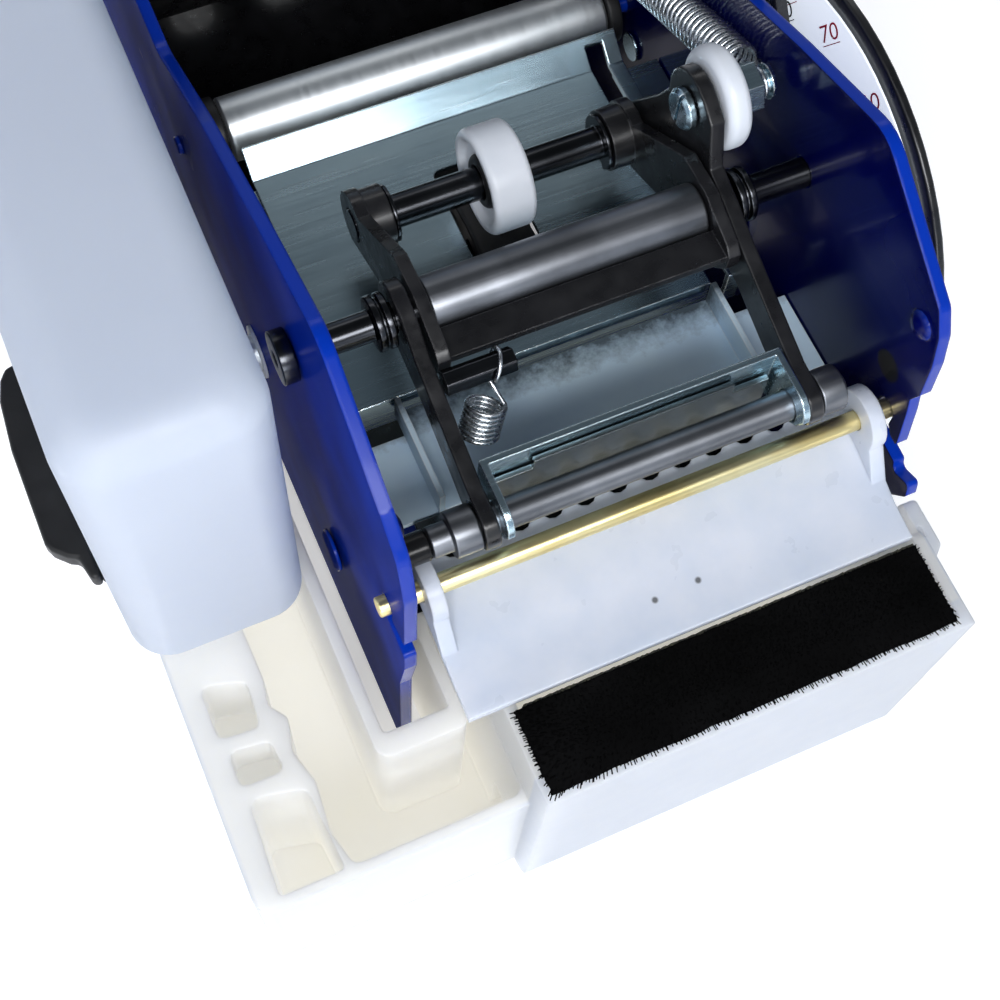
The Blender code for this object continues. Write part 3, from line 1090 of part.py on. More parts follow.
def tank_pieces():
    """The moulded water tank: tray for the bottle on the left, brush box in front."""
    notch_x = -0.0605
    notch_y = PLATE_FRONT_Y - 0.0052
    left, right = TANK_LEFT_X, TANK_RIGHT_X
    tray = rounded([
        (left, TANK_FRONT_Y, 0.004),
        (TANK_SPLIT_X + 0.006, TANK_FRONT_Y, 0.0),
        (TANK_SPLIT_X + 0.006, BRUSH_BOX_REAR_Y, 0.0),
        (SLIT_LEFT_X - TANK_WALL, BRUSH_BOX_REAR_Y, 0.001),
        (SLIT_LEFT_X - TANK_WALL, notch_y, 0.0008),
        (notch_x, notch_y, 0.001),
        (notch_x, TANK_REAR_Y, 0.004),
        (left, TANK_REAR_Y, 0.006),
    ])
    tank = piece("water_tank", slab("Z", [tray], 0.0, TRAY_HEIGHT), "ivory_plastic")

    # Brush box, drawn in side view; its rear is lower to pass under the pressure plate.
    front, rear = BRUSH_BOX_FRONT_Y, BRUSH_BOX_REAR_Y
    side_view = rounded([(front, 0.0, 0.006), (front, BRUSH_BOX_HEIGHT, 0.0),
                         (front + 0.020, BRUSH_BOX_HEIGHT, 0.003),
                         (front + 0.026, BRUSH_BOX_REAR_HEIGHT, 0.003),
                         (rear, BRUSH_BOX_REAR_HEIGHT, 0.0), (rear, 0.0, 0.0)])
    shell = slab("X", [side_view], TANK_SPLIT_X, INSIDE - 0.0006)
    ledge = rounded([(INSIDE - 0.0020, front + 0.003, 0.0), (right, front + 0.003, 0.002),
                     (right, PLATE_FRONT_Y - 0.0062, 0.002), (INSIDE - 0.0020, PLATE_FRONT_Y - 0.0062, 0.0)])
    ledge = slab("Z", [ledge], 0.0010, BRUSH_BOX_REAR_HEIGHT - 0.002)
    combine(tank, [guide("brush_box", shell), guide("box_ledge", ledge)], "UNION")

    floor = TANK_FLOOR
    high = 0.090
    w = TANK_WALL
    channel = rounded([(-0.0765, TANK_REAR_Y - 0.030, 0.002), (-0.0785, 0.0300, 0.010),
                       (-0.0780, 0.0050, 0.004),
                       (-0.0792, 0.0000, 0.002), (-0.0763, -0.0040, 0.002), (-0.0780, -0.0103, 0.003),
                       (-0.0759, -0.0180, 0.004), (-0.0769, -0.0280, 0.004),
                       (-0.0750, TANK_FRONT_Y + w, 0.002),
                       (SLIT_RIGHT_X, TANK_FRONT_Y + w, 0.002), (SLIT_RIGHT_X, BRUSH_BOX_REAR_Y - w, 0.001),
                       (SLIT_LEFT_X, BRUSH_BOX_REAR_Y - w, 0.001), (SLIT_LEFT_X, -0.0190, 0.002),
                       (-0.0632, -0.0190, 0.003),
                       (-0.0632, TANK_REAR_Y - 0.030, 0.002)], 3)
    deep = slab("Z", [channel], floor, high)
    front_well = rounded([(left + 0.0050, TANK_FRONT_Y + w, 0.001), (-0.0768, TANK_FRONT_Y + w, 0.001),
                          (-0.0780, -0.0185, 0.002), (left + 0.0060, -0.0160, 0.002)], 3)
    front_well = slab("Z", [front_well], floor, high)
    recess = rounded([(left + 0.0055, -0.0135, 0.0015), (-0.0805, -0.0135, 0.0015),
                      (-0.0812, -0.0070, 0.0015),
                      (left + 0.0055, -0.0060, 0.0015)], 2)
    recess = slab("Z", [recess], TRAY_HEIGHT - 0.012, high)
    small = rounded([(left + 0.0048, -0.0030, 0.0015), (-0.0820, -0.0036, 0.0015), (-0.0812, 0.0060, 0.0015),
                     (left + 0.0048, 0.0085, 0.0015)], 2)
    small = slab("Z", [small], TRAY_HEIGHT - 0.022, high)
    box_inside = box((TANK_SPLIT_X + w, front + w, floor), (INSIDE - 0.0006 - w, rear - w, high))
    passage = box((TANK_SPLIT_X - 0.006, -0.0330, floor), (TANK_SPLIT_X + w + 0.001, -0.0250, floor + 0.018))
    well = turned([(0.0, floor + 0.0001), (NECK_RADIUS + 0.0012, floor + 0.0001),
                   (NECK_RADIUS + 0.0012, high), (0.0, high)], "Z", NECK_AT, 24)
    cutters = {"deep_channel": deep, "front_well": front_well, "recess": recess, "small_well": small,
               "box_inside": box_inside, "water_passage": passage, "neck_well": well}
    combine(tank, [guide(name, shape) for name, shape in cutters.items()], "DIFFERENCE")

    # The lug at the right rear corner of the brush box, with a triangular window.
    lug = rounded([(0.0484, -0.0300, 0.001), (0.0530, -0.0260, 0.002),
                   (0.0530, PLATE_FRONT_Y - 0.0065, 0.001),
                   (0.0484, PLATE_FRONT_Y - 0.0065, 0.001)])
    hole = rounded([(0.0494, -0.0240, 0.0005), (0.0512, -0.0232, 0.0005), (0.0512, -0.0180, 0.0005)], 2)
    lug = slab("Z", [lug, hole], BRUSH_BOX_REAR_HEIGHT - 0.004, BRUSH_BOX_HEIGHT - 0.0010)
    combine(tank, [guide("tank_lug", lug)], "UNION")

    # Brush: a holder in the box with a block of bristles standing out of it.
    low_y, high_y = front + w + 0.0004, SHOE_FRONT_Y - 0.0008
    bx0, bx1 = TANK_SPLIT_X + w + 0.0004, INSIDE - 0.0006 - w - 0.0004
    section = [(low_y, floor + GAP), (high_y, floor + GAP), (high_y, 0.0560), (high_y - 0.0016, 0.0560),
               (high_y - 0.0016, 0.0520), (low_y + 0.0016, 0.0520), (low_y + 0.0016, 0.0560), (low_y, 0.0560)]
    piece("brush_holder", slab("X", [section], bx0, bx1), "olive_plastic")
    t0, t1 = low_y + 0.0016 + GAP, high_y - 0.0016 - GAP
    crown = [(t0, 0.0520 + GAP), (t1, 0.0520 + GAP), (t1 + 0.0010, BRUSH_TOP - 0.0010),
             (t1 - 0.0005, BRUSH_TOP),
             (t0 - 0.0005, BRUSH_TOP), (t0 - 0.0008, BRUSH_TOP - 0.0012)]
    piece("brush_bristles", slab("X", [crown], bx0 + 0.0010, bx1 - 0.0010), "bristle")


def bottle_pieces():
    """The upturned bottle that keeps the tank filled, and the clip beside it."""
    low = TRAY_HEIGHT + GAP
    bottle = box((BOTTLE_LEFT_X, BOTTLE_FRONT_Y, low), (BOTTLE_RIGHT_X, BOTTLE_REAR_Y, BOTTLE_TOP))
    bottle = piece("water_bottle", bottle, "bottle_plastic")
    edge = bottle.modifiers.new("edges", "BEVEL")
    edge.width = 0.0065
    edge.segments = 4
    edge.limit_method = "ANGLE"
    neck = turned([(0.0, low - 0.020), (NECK_RADIUS - 0.0020, low - 0.020),
                   (NECK_RADIUS - 0.0020, low + 0.010),
                   (0.0, low + 0.010)], "Z", NECK_AT, 24)
    combine(bottle, [guide("bottle_neck", neck)], "UNION")
    cap = [(0.0, low - 0.0320), (0.0025, low - 0.0320), (0.0030, low - 0.0215),
           (NECK_RADIUS - 0.0006, low - 0.0215),
           (NECK_RADIUS, low - 0.0200), (NECK_RADIUS, low - 0.0060),
           (NECK_RADIUS - 0.0020 + GAP, low - 0.0060),
           (NECK_RADIUS - 0.0020 + GAP, low - 0.0200 - GAP), (0.0, low - 0.0200 - GAP)]
    piece("bottle_cap", turned(cap, "Z", NECK_AT, 20), "black_plastic")

    # Moulded clip on the tank's left wall: a thick rounded rail with a groove and a front tongue.
    x0 = TANK_LEFT_X - GAP
    x1 = TANK_LEFT_X - BRACKET_REACH
    rail = rounded([(x0, 0.0360, 0.0), (x0, 0.0900, 0.0), (x1 + 0.004, 0.0880, 0.004), (x1, 0.0840, 0.002),
                    (x1, 0.0500, 0.003), (x1 + 0.003, 0.0460, 0.002), (x1 + 0.0050, 0.0455, 0.001),
                    (x1 + 0.0050, 0.0380, 0.001)])
    rail = piece("bottle_clip", slab("Z", [rail], 0.012, TRAY_HEIGHT + 0.003), "black_plastic", bevel=EDGE)
    groove = box((BOTTLE_LEFT_X - 0.0030, 0.0300, TRAY_HEIGHT - 0.004),
                 (x0 + 0.001, 0.0950, TRAY_HEIGHT + 0.010))
    combine(rail, [guide("clip_groove", groove)], "DIFFERENCE")


def basket_pieces():
    """The tape basket with its rollers, guide cheeks and their rods."""
    wide = INSIDE - GAP
    inner, outer = BASKET_RADIUS, BASKET_RADIUS + BASKET_SHEET
    start, end = math.radians(204), math.radians(348)
    section = arc(BASKET_AT, outer, start, end, 24) + arc(BASKET_AT, inner, end, start, 24)
    basket = piece("tape_basket", slab("X", [section], -wide, wide), "black_paint")
    slots = bmesh.new()
    for x in (-0.026, 0.0, 0.026):
        outline = rounded([(x - 0.006, 0.212, 0.004), (x + 0.006, 0.212, 0.004), (x + 0.006, 0.274, 0.004),
                           (x - 0.006, 0.274, 0.004)])
        slab("Z", [outline], BASKET_AT[1] - outer - 0.010, BASKET_AT[1] - inner + 0.012, slots)
    combine(basket, [guide("basket_slots", slots)], "DIFFERENCE")

    for name, angle in zip(("basket_roller_front", "basket_roller_rear"), BASKET_ROLLER_ANGLES):
        centre = basket_roller_at(angle)
        body, end = wide - 0.0007, OUTSIDE + 0.0008
        profile = [(0.0, -end), (AXLE_RADIUS, -end), (AXLE_RADIUS, -body),
                   (BASKET_ROLLER_RADIUS - 0.0010, -body),
                   (BASKET_ROLLER_RADIUS, -body + 0.0010), (BASKET_ROLLER_RADIUS, body - 0.0010),
                   (BASKET_ROLLER_RADIUS - 0.0010, body), (AXLE_RADIUS, body), (AXLE_RADIUS, end), (0.0, end)]
        piece(name, turned(profile, "X", centre, 18), "zinc", at_axis(centre))
    rod = pin(AXLE_RADIUS, -OUTSIDE - 0.001, OUTSIDE + 0.001, centre=GUIDE_ROD_AT, segments=12)
    piece("guide_rod", rod, "zinc", at_axis(GUIDE_ROD_AT))

    # Ribbed cheeks: a comb profile stood upright, trimmed to the half-round cheek.
    for name, side in (("guide_left", -1), ("guide_right", 1)):
        middle = side * CHEEK_HALF
        comb = []
        back = middle + side * CHEEK_SHEET / 2
        face = middle - side * (CHEEK_SHEET / 2 - 0.0012)
        rib = middle - side * CHEEK_SHEET / 2
        first_y = BASKET_AT[0] - CHEEK_EAR_RADIUS - 0.001
        count = 16
        pitch = (CHEEK_RADIUS + CHEEK_EAR_RADIUS + 0.002) / count
        comb.append((back, first_y))
        for index in range(count):
            y = first_y + pitch * index
            comb += [(face, y), (face, y + pitch * 0.55), (rib, y + pitch * 0.62), (rib, y + pitch * 0.93)]
        comb.append((face, first_y + pitch * count))
        comb.append((back, first_y + pitch * count))
        stock = slab("Z", [comb], BASKET_FLOOR, BASKET_AT[1] + 0.015)
        cheek = piece(name, stock, "black_plastic", (middle, *BASKET_AT))
        outline = arc(BASKET_AT, CHEEK_EAR_RADIUS, math.radians(192), math.radians(224), 6)
        outline += arc(BASKET_AT, CHEEK_RADIUS, math.radians(234), math.radians(356), 22)
        hole = circle(GUIDE_ROD_AT, AXLE_RADIUS + RUN, 12)
        trim = slab("X", [outline, hole], middle - 0.005, middle + 0.005)
        combine(cheek, [guide(name + "_trim", trim)], "INTERSECT")


frame_pieces()
feed_pieces()
lever_pieces()
gauge_pieces()
entry_pieces()
pivot_pieces()
pressure_frame_pieces()
cutter_pieces()
shoe_pieces()
tank_pieces()
bottle_pieces()
basket_pieces()
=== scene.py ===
# %% [markdown]
# # A gummed tape dispenser, dressed for its portrait
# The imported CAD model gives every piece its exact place. This lesson loads it as a fixed frame,
# gives each piece the finish of the real one, and builds again, finer, the pieces whose roundness
# or fuzz a plain solid can't show: springs, rollers, shafts, bristles, bottle and dial print.

# %% Load the frame
import json
import math
import random

import bmesh
import bpy
import numpy as np
from mathutils import Matrix, Vector

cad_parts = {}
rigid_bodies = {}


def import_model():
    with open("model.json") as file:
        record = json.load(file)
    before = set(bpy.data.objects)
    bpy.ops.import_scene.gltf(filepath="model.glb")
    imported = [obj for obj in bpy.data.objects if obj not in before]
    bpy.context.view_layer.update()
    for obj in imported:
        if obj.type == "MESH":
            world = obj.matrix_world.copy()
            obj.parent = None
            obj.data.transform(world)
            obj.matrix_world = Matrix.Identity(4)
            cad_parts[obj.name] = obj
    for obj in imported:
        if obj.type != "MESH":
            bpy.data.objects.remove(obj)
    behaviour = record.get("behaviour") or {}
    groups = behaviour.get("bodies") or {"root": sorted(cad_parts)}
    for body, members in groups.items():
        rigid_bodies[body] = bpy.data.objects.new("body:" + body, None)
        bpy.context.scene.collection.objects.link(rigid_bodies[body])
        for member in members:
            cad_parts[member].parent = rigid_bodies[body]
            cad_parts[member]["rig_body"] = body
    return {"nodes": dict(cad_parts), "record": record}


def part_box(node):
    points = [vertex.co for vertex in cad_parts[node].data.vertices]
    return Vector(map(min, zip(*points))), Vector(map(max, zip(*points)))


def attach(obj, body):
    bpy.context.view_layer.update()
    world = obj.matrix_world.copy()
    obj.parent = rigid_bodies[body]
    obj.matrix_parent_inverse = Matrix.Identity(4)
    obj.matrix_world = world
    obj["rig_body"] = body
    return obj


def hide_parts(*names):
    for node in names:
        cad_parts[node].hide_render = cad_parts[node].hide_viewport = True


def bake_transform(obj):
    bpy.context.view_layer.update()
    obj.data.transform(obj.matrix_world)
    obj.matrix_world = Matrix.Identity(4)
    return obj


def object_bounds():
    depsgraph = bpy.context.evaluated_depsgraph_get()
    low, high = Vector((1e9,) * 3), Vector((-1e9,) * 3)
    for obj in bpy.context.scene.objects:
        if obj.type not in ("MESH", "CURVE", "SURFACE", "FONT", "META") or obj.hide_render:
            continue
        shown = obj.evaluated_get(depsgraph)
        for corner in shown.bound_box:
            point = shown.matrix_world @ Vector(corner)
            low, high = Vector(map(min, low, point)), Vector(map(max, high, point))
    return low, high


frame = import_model()
cad_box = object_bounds()
nodes = frame["nodes"]
MM = 0.001
rod_low, rod_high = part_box("brass_rod")
rod_centre = (rod_low + rod_high) / 2

# %% [markdown]
# Sizes in this lesson are millimetres. A place is counted from the middle of the brass rod in x and y,
# and from the table in z, because that rod is the line that a maker of this machine measures from.

# %% A place on the machine
def spot(x, y, z):
    """A point given in millimetres from the brass rod's middle, and height over the table."""
    return Vector((rod_centre.x + x * MM, rod_centre.y + y * MM, z * MM))


def middle_of(node):
    """The middle of a CAD node's box."""
    low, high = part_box(node)
    return (low + high) / 2


print("brass rod at", [round(v, 4) for v in rod_centre])

# %% [markdown]
# ## Finishes
# Every finish is a Principled shader whose colour, roughness and relief come from noise in the
# object's own space, so nothing slides when a piece moves. The first helpers make the bare shader, add
# nodes, set or link their inputs, do one sum, and give a place in the piece's own space.

# %% Helpers for shader nodes
def dress(node, values):
    """Gives a node's inputs their values: a socket is linked, and anything else is set."""
    for key, value in values.items():
        if isinstance(value, bpy.types.NodeSocket):
            node.id_data.links.new(value, node.inputs[key])
        else:
            node.inputs[key].default_value = value


def bare_finish(name, colour, roughness, metallic=0.0):
    """A new material with one Principled shader, and its node tree."""
    material = bpy.data.materials.new(name)
    material.use_nodes = True
    material.diffuse_color = (*colour, 1.0)
    shader = material.node_tree.nodes["Principled BSDF"]
    dress(shader, {"Base Color": (*colour, 1.0), "Roughness": roughness, "Metallic": metallic})
    return material, material.node_tree, shader


def add_node(tree, kind, **values):
    """A node with some of its properties set, and some of its inputs set or linked."""
    node = tree.nodes.new(kind)
    for key, value in values.items():
        if key in node.inputs:
            dress(node, {key: value})
        else:
            setattr(node, key, value)
    return node


def maths(tree, operation, *values, kind="ShaderNodeMath", result="Value", **settings):
    """The result of one operation on sockets or plain values."""
    node = add_node(tree, kind, operation=operation, **settings)
    dress(node, dict(enumerate(values)))
    return node.outputs[result]


def own_space(tree, output="Object"):
    """A place in the piece's own space, or its normal there."""
    return add_node(tree, "ShaderNodeTexCoord").outputs[output]


def axes(tree, output="Object"):
    """The same as three sockets, X, Y and Z."""
    return add_node(tree, "ShaderNodeSeparateXYZ", Vector=own_space(tree, output)).outputs


print("node helpers ready")

# %% [markdown]
# The next ones draw grain, turn a value into colours or into another range, and mix two colours.

# %% Helpers for grain and colour
def grain(tree, scale, stretch=(1.0, 1.0, 1.0), detail=3.0, rough=0.5):
    """Noise in the piece's own space; a low stretch along an axis draws it out that way."""
    spread = add_node(tree, "ShaderNodeMapping", Vector=own_space(tree), Scale=stretch)
    noise = add_node(tree, "ShaderNodeTexNoise", Vector=spread.outputs["Vector"], Scale=scale,
                     Detail=detail, Roughness=rough)
    return noise.outputs["Fac"]


def stops(tree, value, colours):
    """Colours along a value, as (position, colour) stops."""
    ramp = add_node(tree, "ShaderNodeValToRGB", Fac=value)
    points = ramp.color_ramp.elements
    while len(points) < len(colours):
        points.new(0.5)
    for point, (position, colour) in zip(points, colours):
        point.position = position
        point.color = (*colour, 1.0)
    return ramp.outputs["Color"]


def between(tree, value, low, high, from_low=0.3, from_high=0.7):
    """The value spread out to lie between two numbers."""
    spread = add_node(tree, "ShaderNodeMapRange", Value=value)
    dress(spread, {"From Min": from_low, "From Max": from_high, "To Min": low, "To Max": high})
    return spread.outputs["Result"]


def mixed(tree, share, first, second):
    """Two colours mixed by a share; either may be a socket or a plain colour."""
    mix = add_node(tree, "ShaderNodeMix", data_type="RGBA", Factor=share)
    for key, colour in ((6, first), (7, second)):
        dress(mix, {key: colour if isinstance(colour, bpy.types.NodeSocket) else (*colour, 1.0)})
    return mix.outputs[2]


print("colour helpers ready")

# %% [markdown]
# Cast, moulded and folded pieces never have knife edges. So the Bevel node rounds the shading of every
# edge by a fraction of a millimetre, and it also tells where the edges are, for paint that wears there.
# Thin plastic lets a share of the light through, which needs a second shader beside the first.

# %% Helpers for relief, edges and milky plastic
def relief(tree, shader, height, depth, edge=0.0003):
    """Bump of a depth in metres over edges that shade as if rounded by a radius."""
    rounding = add_node(tree, "ShaderNodeBevel", samples=6, Radius=edge)
    bump = add_node(tree, "ShaderNodeBump", Strength=1.0, Distance=depth, Height=height,
                    Normal=rounding.outputs["Normal"])
    dress(shader, {"Normal": bump.outputs["Normal"]})


def edge_share(tree, radius, low, high):
    """How much a place lies on an edge: where the rounded normal leaves the true one."""
    rounding = add_node(tree, "ShaderNodeBevel", samples=6, Radius=radius)
    true = add_node(tree, "ShaderNodeNewGeometry")
    turn = maths(tree, "DOT_PRODUCT", rounding.outputs["Normal"], true.outputs["Normal"],
                 kind="ShaderNodeVectorMath")
    return between(tree, turn, 1.0, 0.0, low, high)


def mix_shaders(tree, share, first, second):
    """Shows two shaders at once, the second by a share that may be a socket."""
    both = add_node(tree, "ShaderNodeMixShader", Fac=share)
    dress(both, {1: first.outputs["BSDF"], 2: second.outputs["BSDF"]})
    dress(tree.nodes["Material Output"], {"Surface": both.outputs["Shader"]})


def milky(tree, shader, share, colour):
    """Lets a share of the light through to the other side, as thin milky plastic does."""
    through = add_node(tree, "ShaderNodeBsdfTranslucent", Color=(*colour, 1.0))
    mix_shaders(tree, share, shader, through)


finishes = {}
print("surface helpers ready")

# %% [markdown]
# ### Blue paint
# The side plates are dipped in a thick glossy blue enamel. On the wide faces it is painted nearly
# black-blue, painted shade, and on the narrow edges of the sheet a much brighter blue, a painted
# highlight. The share of edge is read from the normal: a wide face points along x and an edge doesn't.
# The stub of dark bar that stands on the left plate is told by its distance from the bar's axis. The
# outside of the left plate is seen at a flat angle beside a white bottle, and would only mirror it. So
# on both outer faces the paint is mixed with a plain clear blue that has no gloss, painted far lighter
# than the wide faces as if lit. A face is outer where its normal points to the side it lies on: the
# product of the two is then positive.

# %% Blue enamel
# Painted light and shade: the wide faces' blues are dark as in shade, the outer faces' blues light as lit,
# and the edge blue is a painted highlight.
enamel_deep = (0.0001, 0.0006, 0.034)
enamel_shaded_face = (0.0001, 0.0016, 0.075)
enamel_edge_highlight = (0.0010, 0.0280, 0.340)
enamel_lit_outer = (0.0040, 0.0360, 0.420)
enamel_shade = (0.0012, 0.0120, 0.150)
bar_axis, bar_black = spot(0, 4.5, 91.5), (0.010, 0.010, 0.011)
bar_inner, bar_outer = 3.3 * MM, 3.6 * MM
blue, tree, shader = bare_finish("blue_enamel", enamel_shaded_face, 0.30)
clouds = stops(tree, grain(tree, 16.0), [(0.35, enamel_deep), (0.68, enamel_shaded_face)])
facing = axes(tree, "Normal")["X"]
on_edge = between(tree, maths(tree, "ABSOLUTE", facing), 1.0, 0.0, 0.15, 0.85)
painted = mixed(tree, on_edge, clouds, enamel_edge_highlight)
flat = maths(tree, "MULTIPLY", own_space(tree), (0.0, 1.0, 1.0), kind="ShaderNodeVectorMath", result="Vector")
from_bar = maths(tree, "DISTANCE", flat, (0.0, bar_axis.y, bar_axis.z), kind="ShaderNodeVectorMath")
bar_share = between(tree, from_bar, 1.0, 0.0, bar_inner, bar_outer)
dress(shader, {"Base Color": mixed(tree, bar_share, painted, bar_black), "IOR": 1.27,
               "Roughness": between(tree, grain(tree, 45.0), 0.14, 0.28),
               "Coat Weight": 0.10, "Coat Roughness": 0.05})
relief(tree, shader, grain(tree, 120.0, detail=1.0), 0.000012, 0.0009)
# Painted light: the outer faces get the lighter, lit blue, with no gloss.
side = between(tree, axes(tree)["X"], -1.0, 1.0, spot(-20, 0, 0).x, spot(20, 0, 0).x)
outward = maths(tree, "MULTIPLY", facing, side)
lit_outer_tone = stops(tree, grain(tree, 14.0), [(0.36, enamel_shade), (0.62, enamel_lit_outer)])
plain = add_node(tree, "ShaderNodeBsdfDiffuse", Color=lit_outer_tone)
mix_shaders(tree, between(tree, outward, 0.0, 0.88, 0.5, 0.9), shader, plain)
finishes["blue_paint"] = blue
print("finish:", blue.name)

# %% [markdown]
# ### Zinc sheet
# The folded sheets are zinc plated: cold, slightly teal, streaked along the rolling direction, with
# faint clouds from the bath. Stretching the noise along x draws the rolling streaks. The front table is
# frosted instead, and its rear is painted dark, a painted shadow: the place along y plus noise makes
# that ragged edge.

# %% Zinc plating, bright and frosted
def plated(name, light, dark, smooth, dull, streak_depth):
    """Zinc in a light and a dark tone, from smooth to dull, with rolled streaks."""
    material, tree, shader = bare_finish(name, light, smooth, 1.0)
    clouds = grain(tree, 24.0, (0.5, 1.0, 1.0), 5.0, 0.6)
    tone = stops(tree, clouds, [(0.34, dark), (0.66, light)])
    # Edges get a bright metal colour: partly rubbed, partly a painted highlight where they catch the light.
    worn_and_highlit_edge = edge_share(tree, 0.0005, 0.86, 0.99)
    streaks = grain(tree, 1800.0, (0.02, 1.0, 1.0), 3.0)
    dress(shader, {"Base Color": mixed(tree, worn_and_highlit_edge, tone, (0.88, 0.92, 0.93)),
                   "Roughness": between(tree, streaks, smooth, dull, 0.2, 0.8)})
    relief(tree, shader, streaks, streak_depth, 0.0004)
    return material


def shader_of(material):
    """A finish's own Principled shader."""
    return material.node_tree.nodes["Principled BSDF"]


finishes["zinc"] = plated("zinc_sheet", (0.60, 0.77, 0.85), (0.36, 0.51, 0.61), 0.20, 0.30, 0.000001)
frosted = plated("zinc_frosted", (0.74, 0.91, 1.00), (0.52, 0.70, 0.92), 0.42, 0.58, 0.000004)
# Painted shadow: the table's rear is painted near black, with a ragged edge along y.
painted_shadow_black, raggedness = (0.012, 0.016, 0.022), 9.0 * MM
shadow_from, shadow_to = spot(0, 38.5, 0).y, spot(0, 44.5, 0).y
tree, shader = frosted.node_tree, shader_of(frosted)
wander = grain(tree, 260.0, detail=6.0, rough=0.7)
ragged = maths(tree, "MULTIPLY_ADD", wander, raggedness, axes(tree)["Y"])
painted_shadow_share = between(tree, ragged, 0.0, 0.93, shadow_from, shadow_to)
frost_tone = shader.inputs["Base Color"].links[0].from_socket
dress(shader, {"Base Color": mixed(tree, painted_shadow_share, frost_tone, painted_shadow_black), "Metallic": 0.15})
print("finish:", finishes["zinc"].name, frosted.name)

# %% [markdown]
# ### Turned steel, spring wire and brass
# Turned pieces carry fine rings from the lathe, and drawn wire or rod has lines along its length. Both
# are the same stretched noise, only drawn out along another axis.

# %% Turned and drawn metal
def turned_metal(name, light, dark, smooth, dull, stretch, depth, edge=0.0003):
    """Bright metal with fine lines, drawn out by stretch."""
    material, tree, shader = bare_finish(name, light, smooth, 1.0)
    lines = grain(tree, 1500.0, stretch, 2.0)
    dress(shader, {"Base Color": stops(tree, grain(tree, 70.0, detail=4.0), [(0.38, dark), (0.62, light)]),
                   "Roughness": between(tree, lines, smooth, dull)})
    relief(tree, shader, lines, depth, edge)
    return material


round_rod, along_rod, even = (1.0, 0.03, 0.03), (0.02, 1.0, 1.0), (1.0, 1.0, 1.0)
finishes["bright_steel"] = turned_metal(
    "bright_steel", (0.92, 0.96, 0.98), (0.86, 0.91, 0.94), 0.38, 0.44, round_rod, 0.0000001)
finishes["spring_steel"] = turned_metal(
    "spring_wire", (0.80, 0.83, 0.86), (0.62, 0.65, 0.68), 0.24, 0.30, even, 0.0000001, 0.00002)
finishes["brass"] = turned_metal(
    "drawn_brass", (1.00, 0.89, 0.51), (0.90, 0.73, 0.33), 0.28, 0.36, along_rod, 0.0000005)
finishes["black_steel"] = turned_metal(
    "black_oxide_steel", (0.240, 0.252, 0.276), (0.160, 0.168, 0.184), 0.34, 0.44, along_rod, 0.0000005)
finishes["oiled_steel"] = turned_metal(
    "oiled_steel", (0.075, 0.078, 0.086), (0.045, 0.047, 0.052), 0.18, 0.26, along_rod, 0.0000005)
finishes["blade_steel"] = turned_metal(
    "blade_steel", (0.30, 0.33, 0.33), (0.20, 0.23, 0.24), 0.16, 0.26, along_rod, 0.0000005)
print("finishes: bright steel, spring wire, brass, black oxide, oiled and blade steel")

# %% [markdown]
# ### Black paint
# The swinging arms, dial plate and basket are painted black over steel. Handling rubs the paint thin on
# the corners, so the edge share brings a little grey through, broken up by noise.

# %% Black paint with rubbed edges
paint_deep, paint_light, rubbed = (0.005, 0.005, 0.006), (0.010, 0.010, 0.012), (0.09, 0.09, 0.095)
black, tree, shader = bare_finish("black_paint", paint_deep, 0.3)
scuffs = between(tree, grain(tree, 420.0, detail=5.0), 0.0, 0.5, 0.42, 0.62)
rub = maths(tree, "MULTIPLY", edge_share(tree, 0.0005, 0.80, 0.99), scuffs)
clouds = stops(tree, grain(tree, 60.0), [(0.35, paint_deep), (0.7, paint_light)])
dress(shader, {"Base Color": mixed(tree, rub, clouds, rubbed),
               "Roughness": between(tree, grain(tree, 240.0), 0.22, 0.42),
               "Coat Weight": 0.25, "Coat Roughness": 0.12})
relief(tree, shader, grain(tree, 520.0, detail=2.0), 0.000012, 0.0005)
finishes["black_paint"] = black
print("finish:", black.name)

# %% [markdown]
# ### Plastics
# The white plate and the rollers are dense nylon, the tank is ivory styrene and the bottle is milky
# polyethylene. All of them let a little light in, which softens their shadows, so they get some
# subsurface scattering. Moulded skins also have faint flow clouds and a very fine satin relief. The
# dial's paper is given a bluish glow, painted light that keeps it bright in shade, and bristles have
# almost no gloss.

# %% Moulded plastics
def moulded(name, light, dark, smooth, dull, milk=0.0, reach=0.002, scale=45.0, depth=0.000008):
    """A moulded plastic in two near tones; milk is how much light goes in, and reach how far."""
    material, tree, shader = bare_finish(name, light, smooth)
    clouds = grain(tree, scale, detail=4.0, rough=0.55)
    dress(shader, {"Base Color": stops(tree, clouds, [(0.34, dark), (0.64, light)]),
                   "Roughness": between(tree, grain(tree, 190.0), smooth, dull),
                   "Subsurface Weight": milk, "Subsurface Scale": reach,
                   "Subsurface Radius": (1.0, 0.95, 0.9)})
    relief(tree, shader, grain(tree, 420.0, detail=3.0), depth, 0.0006)
    return material


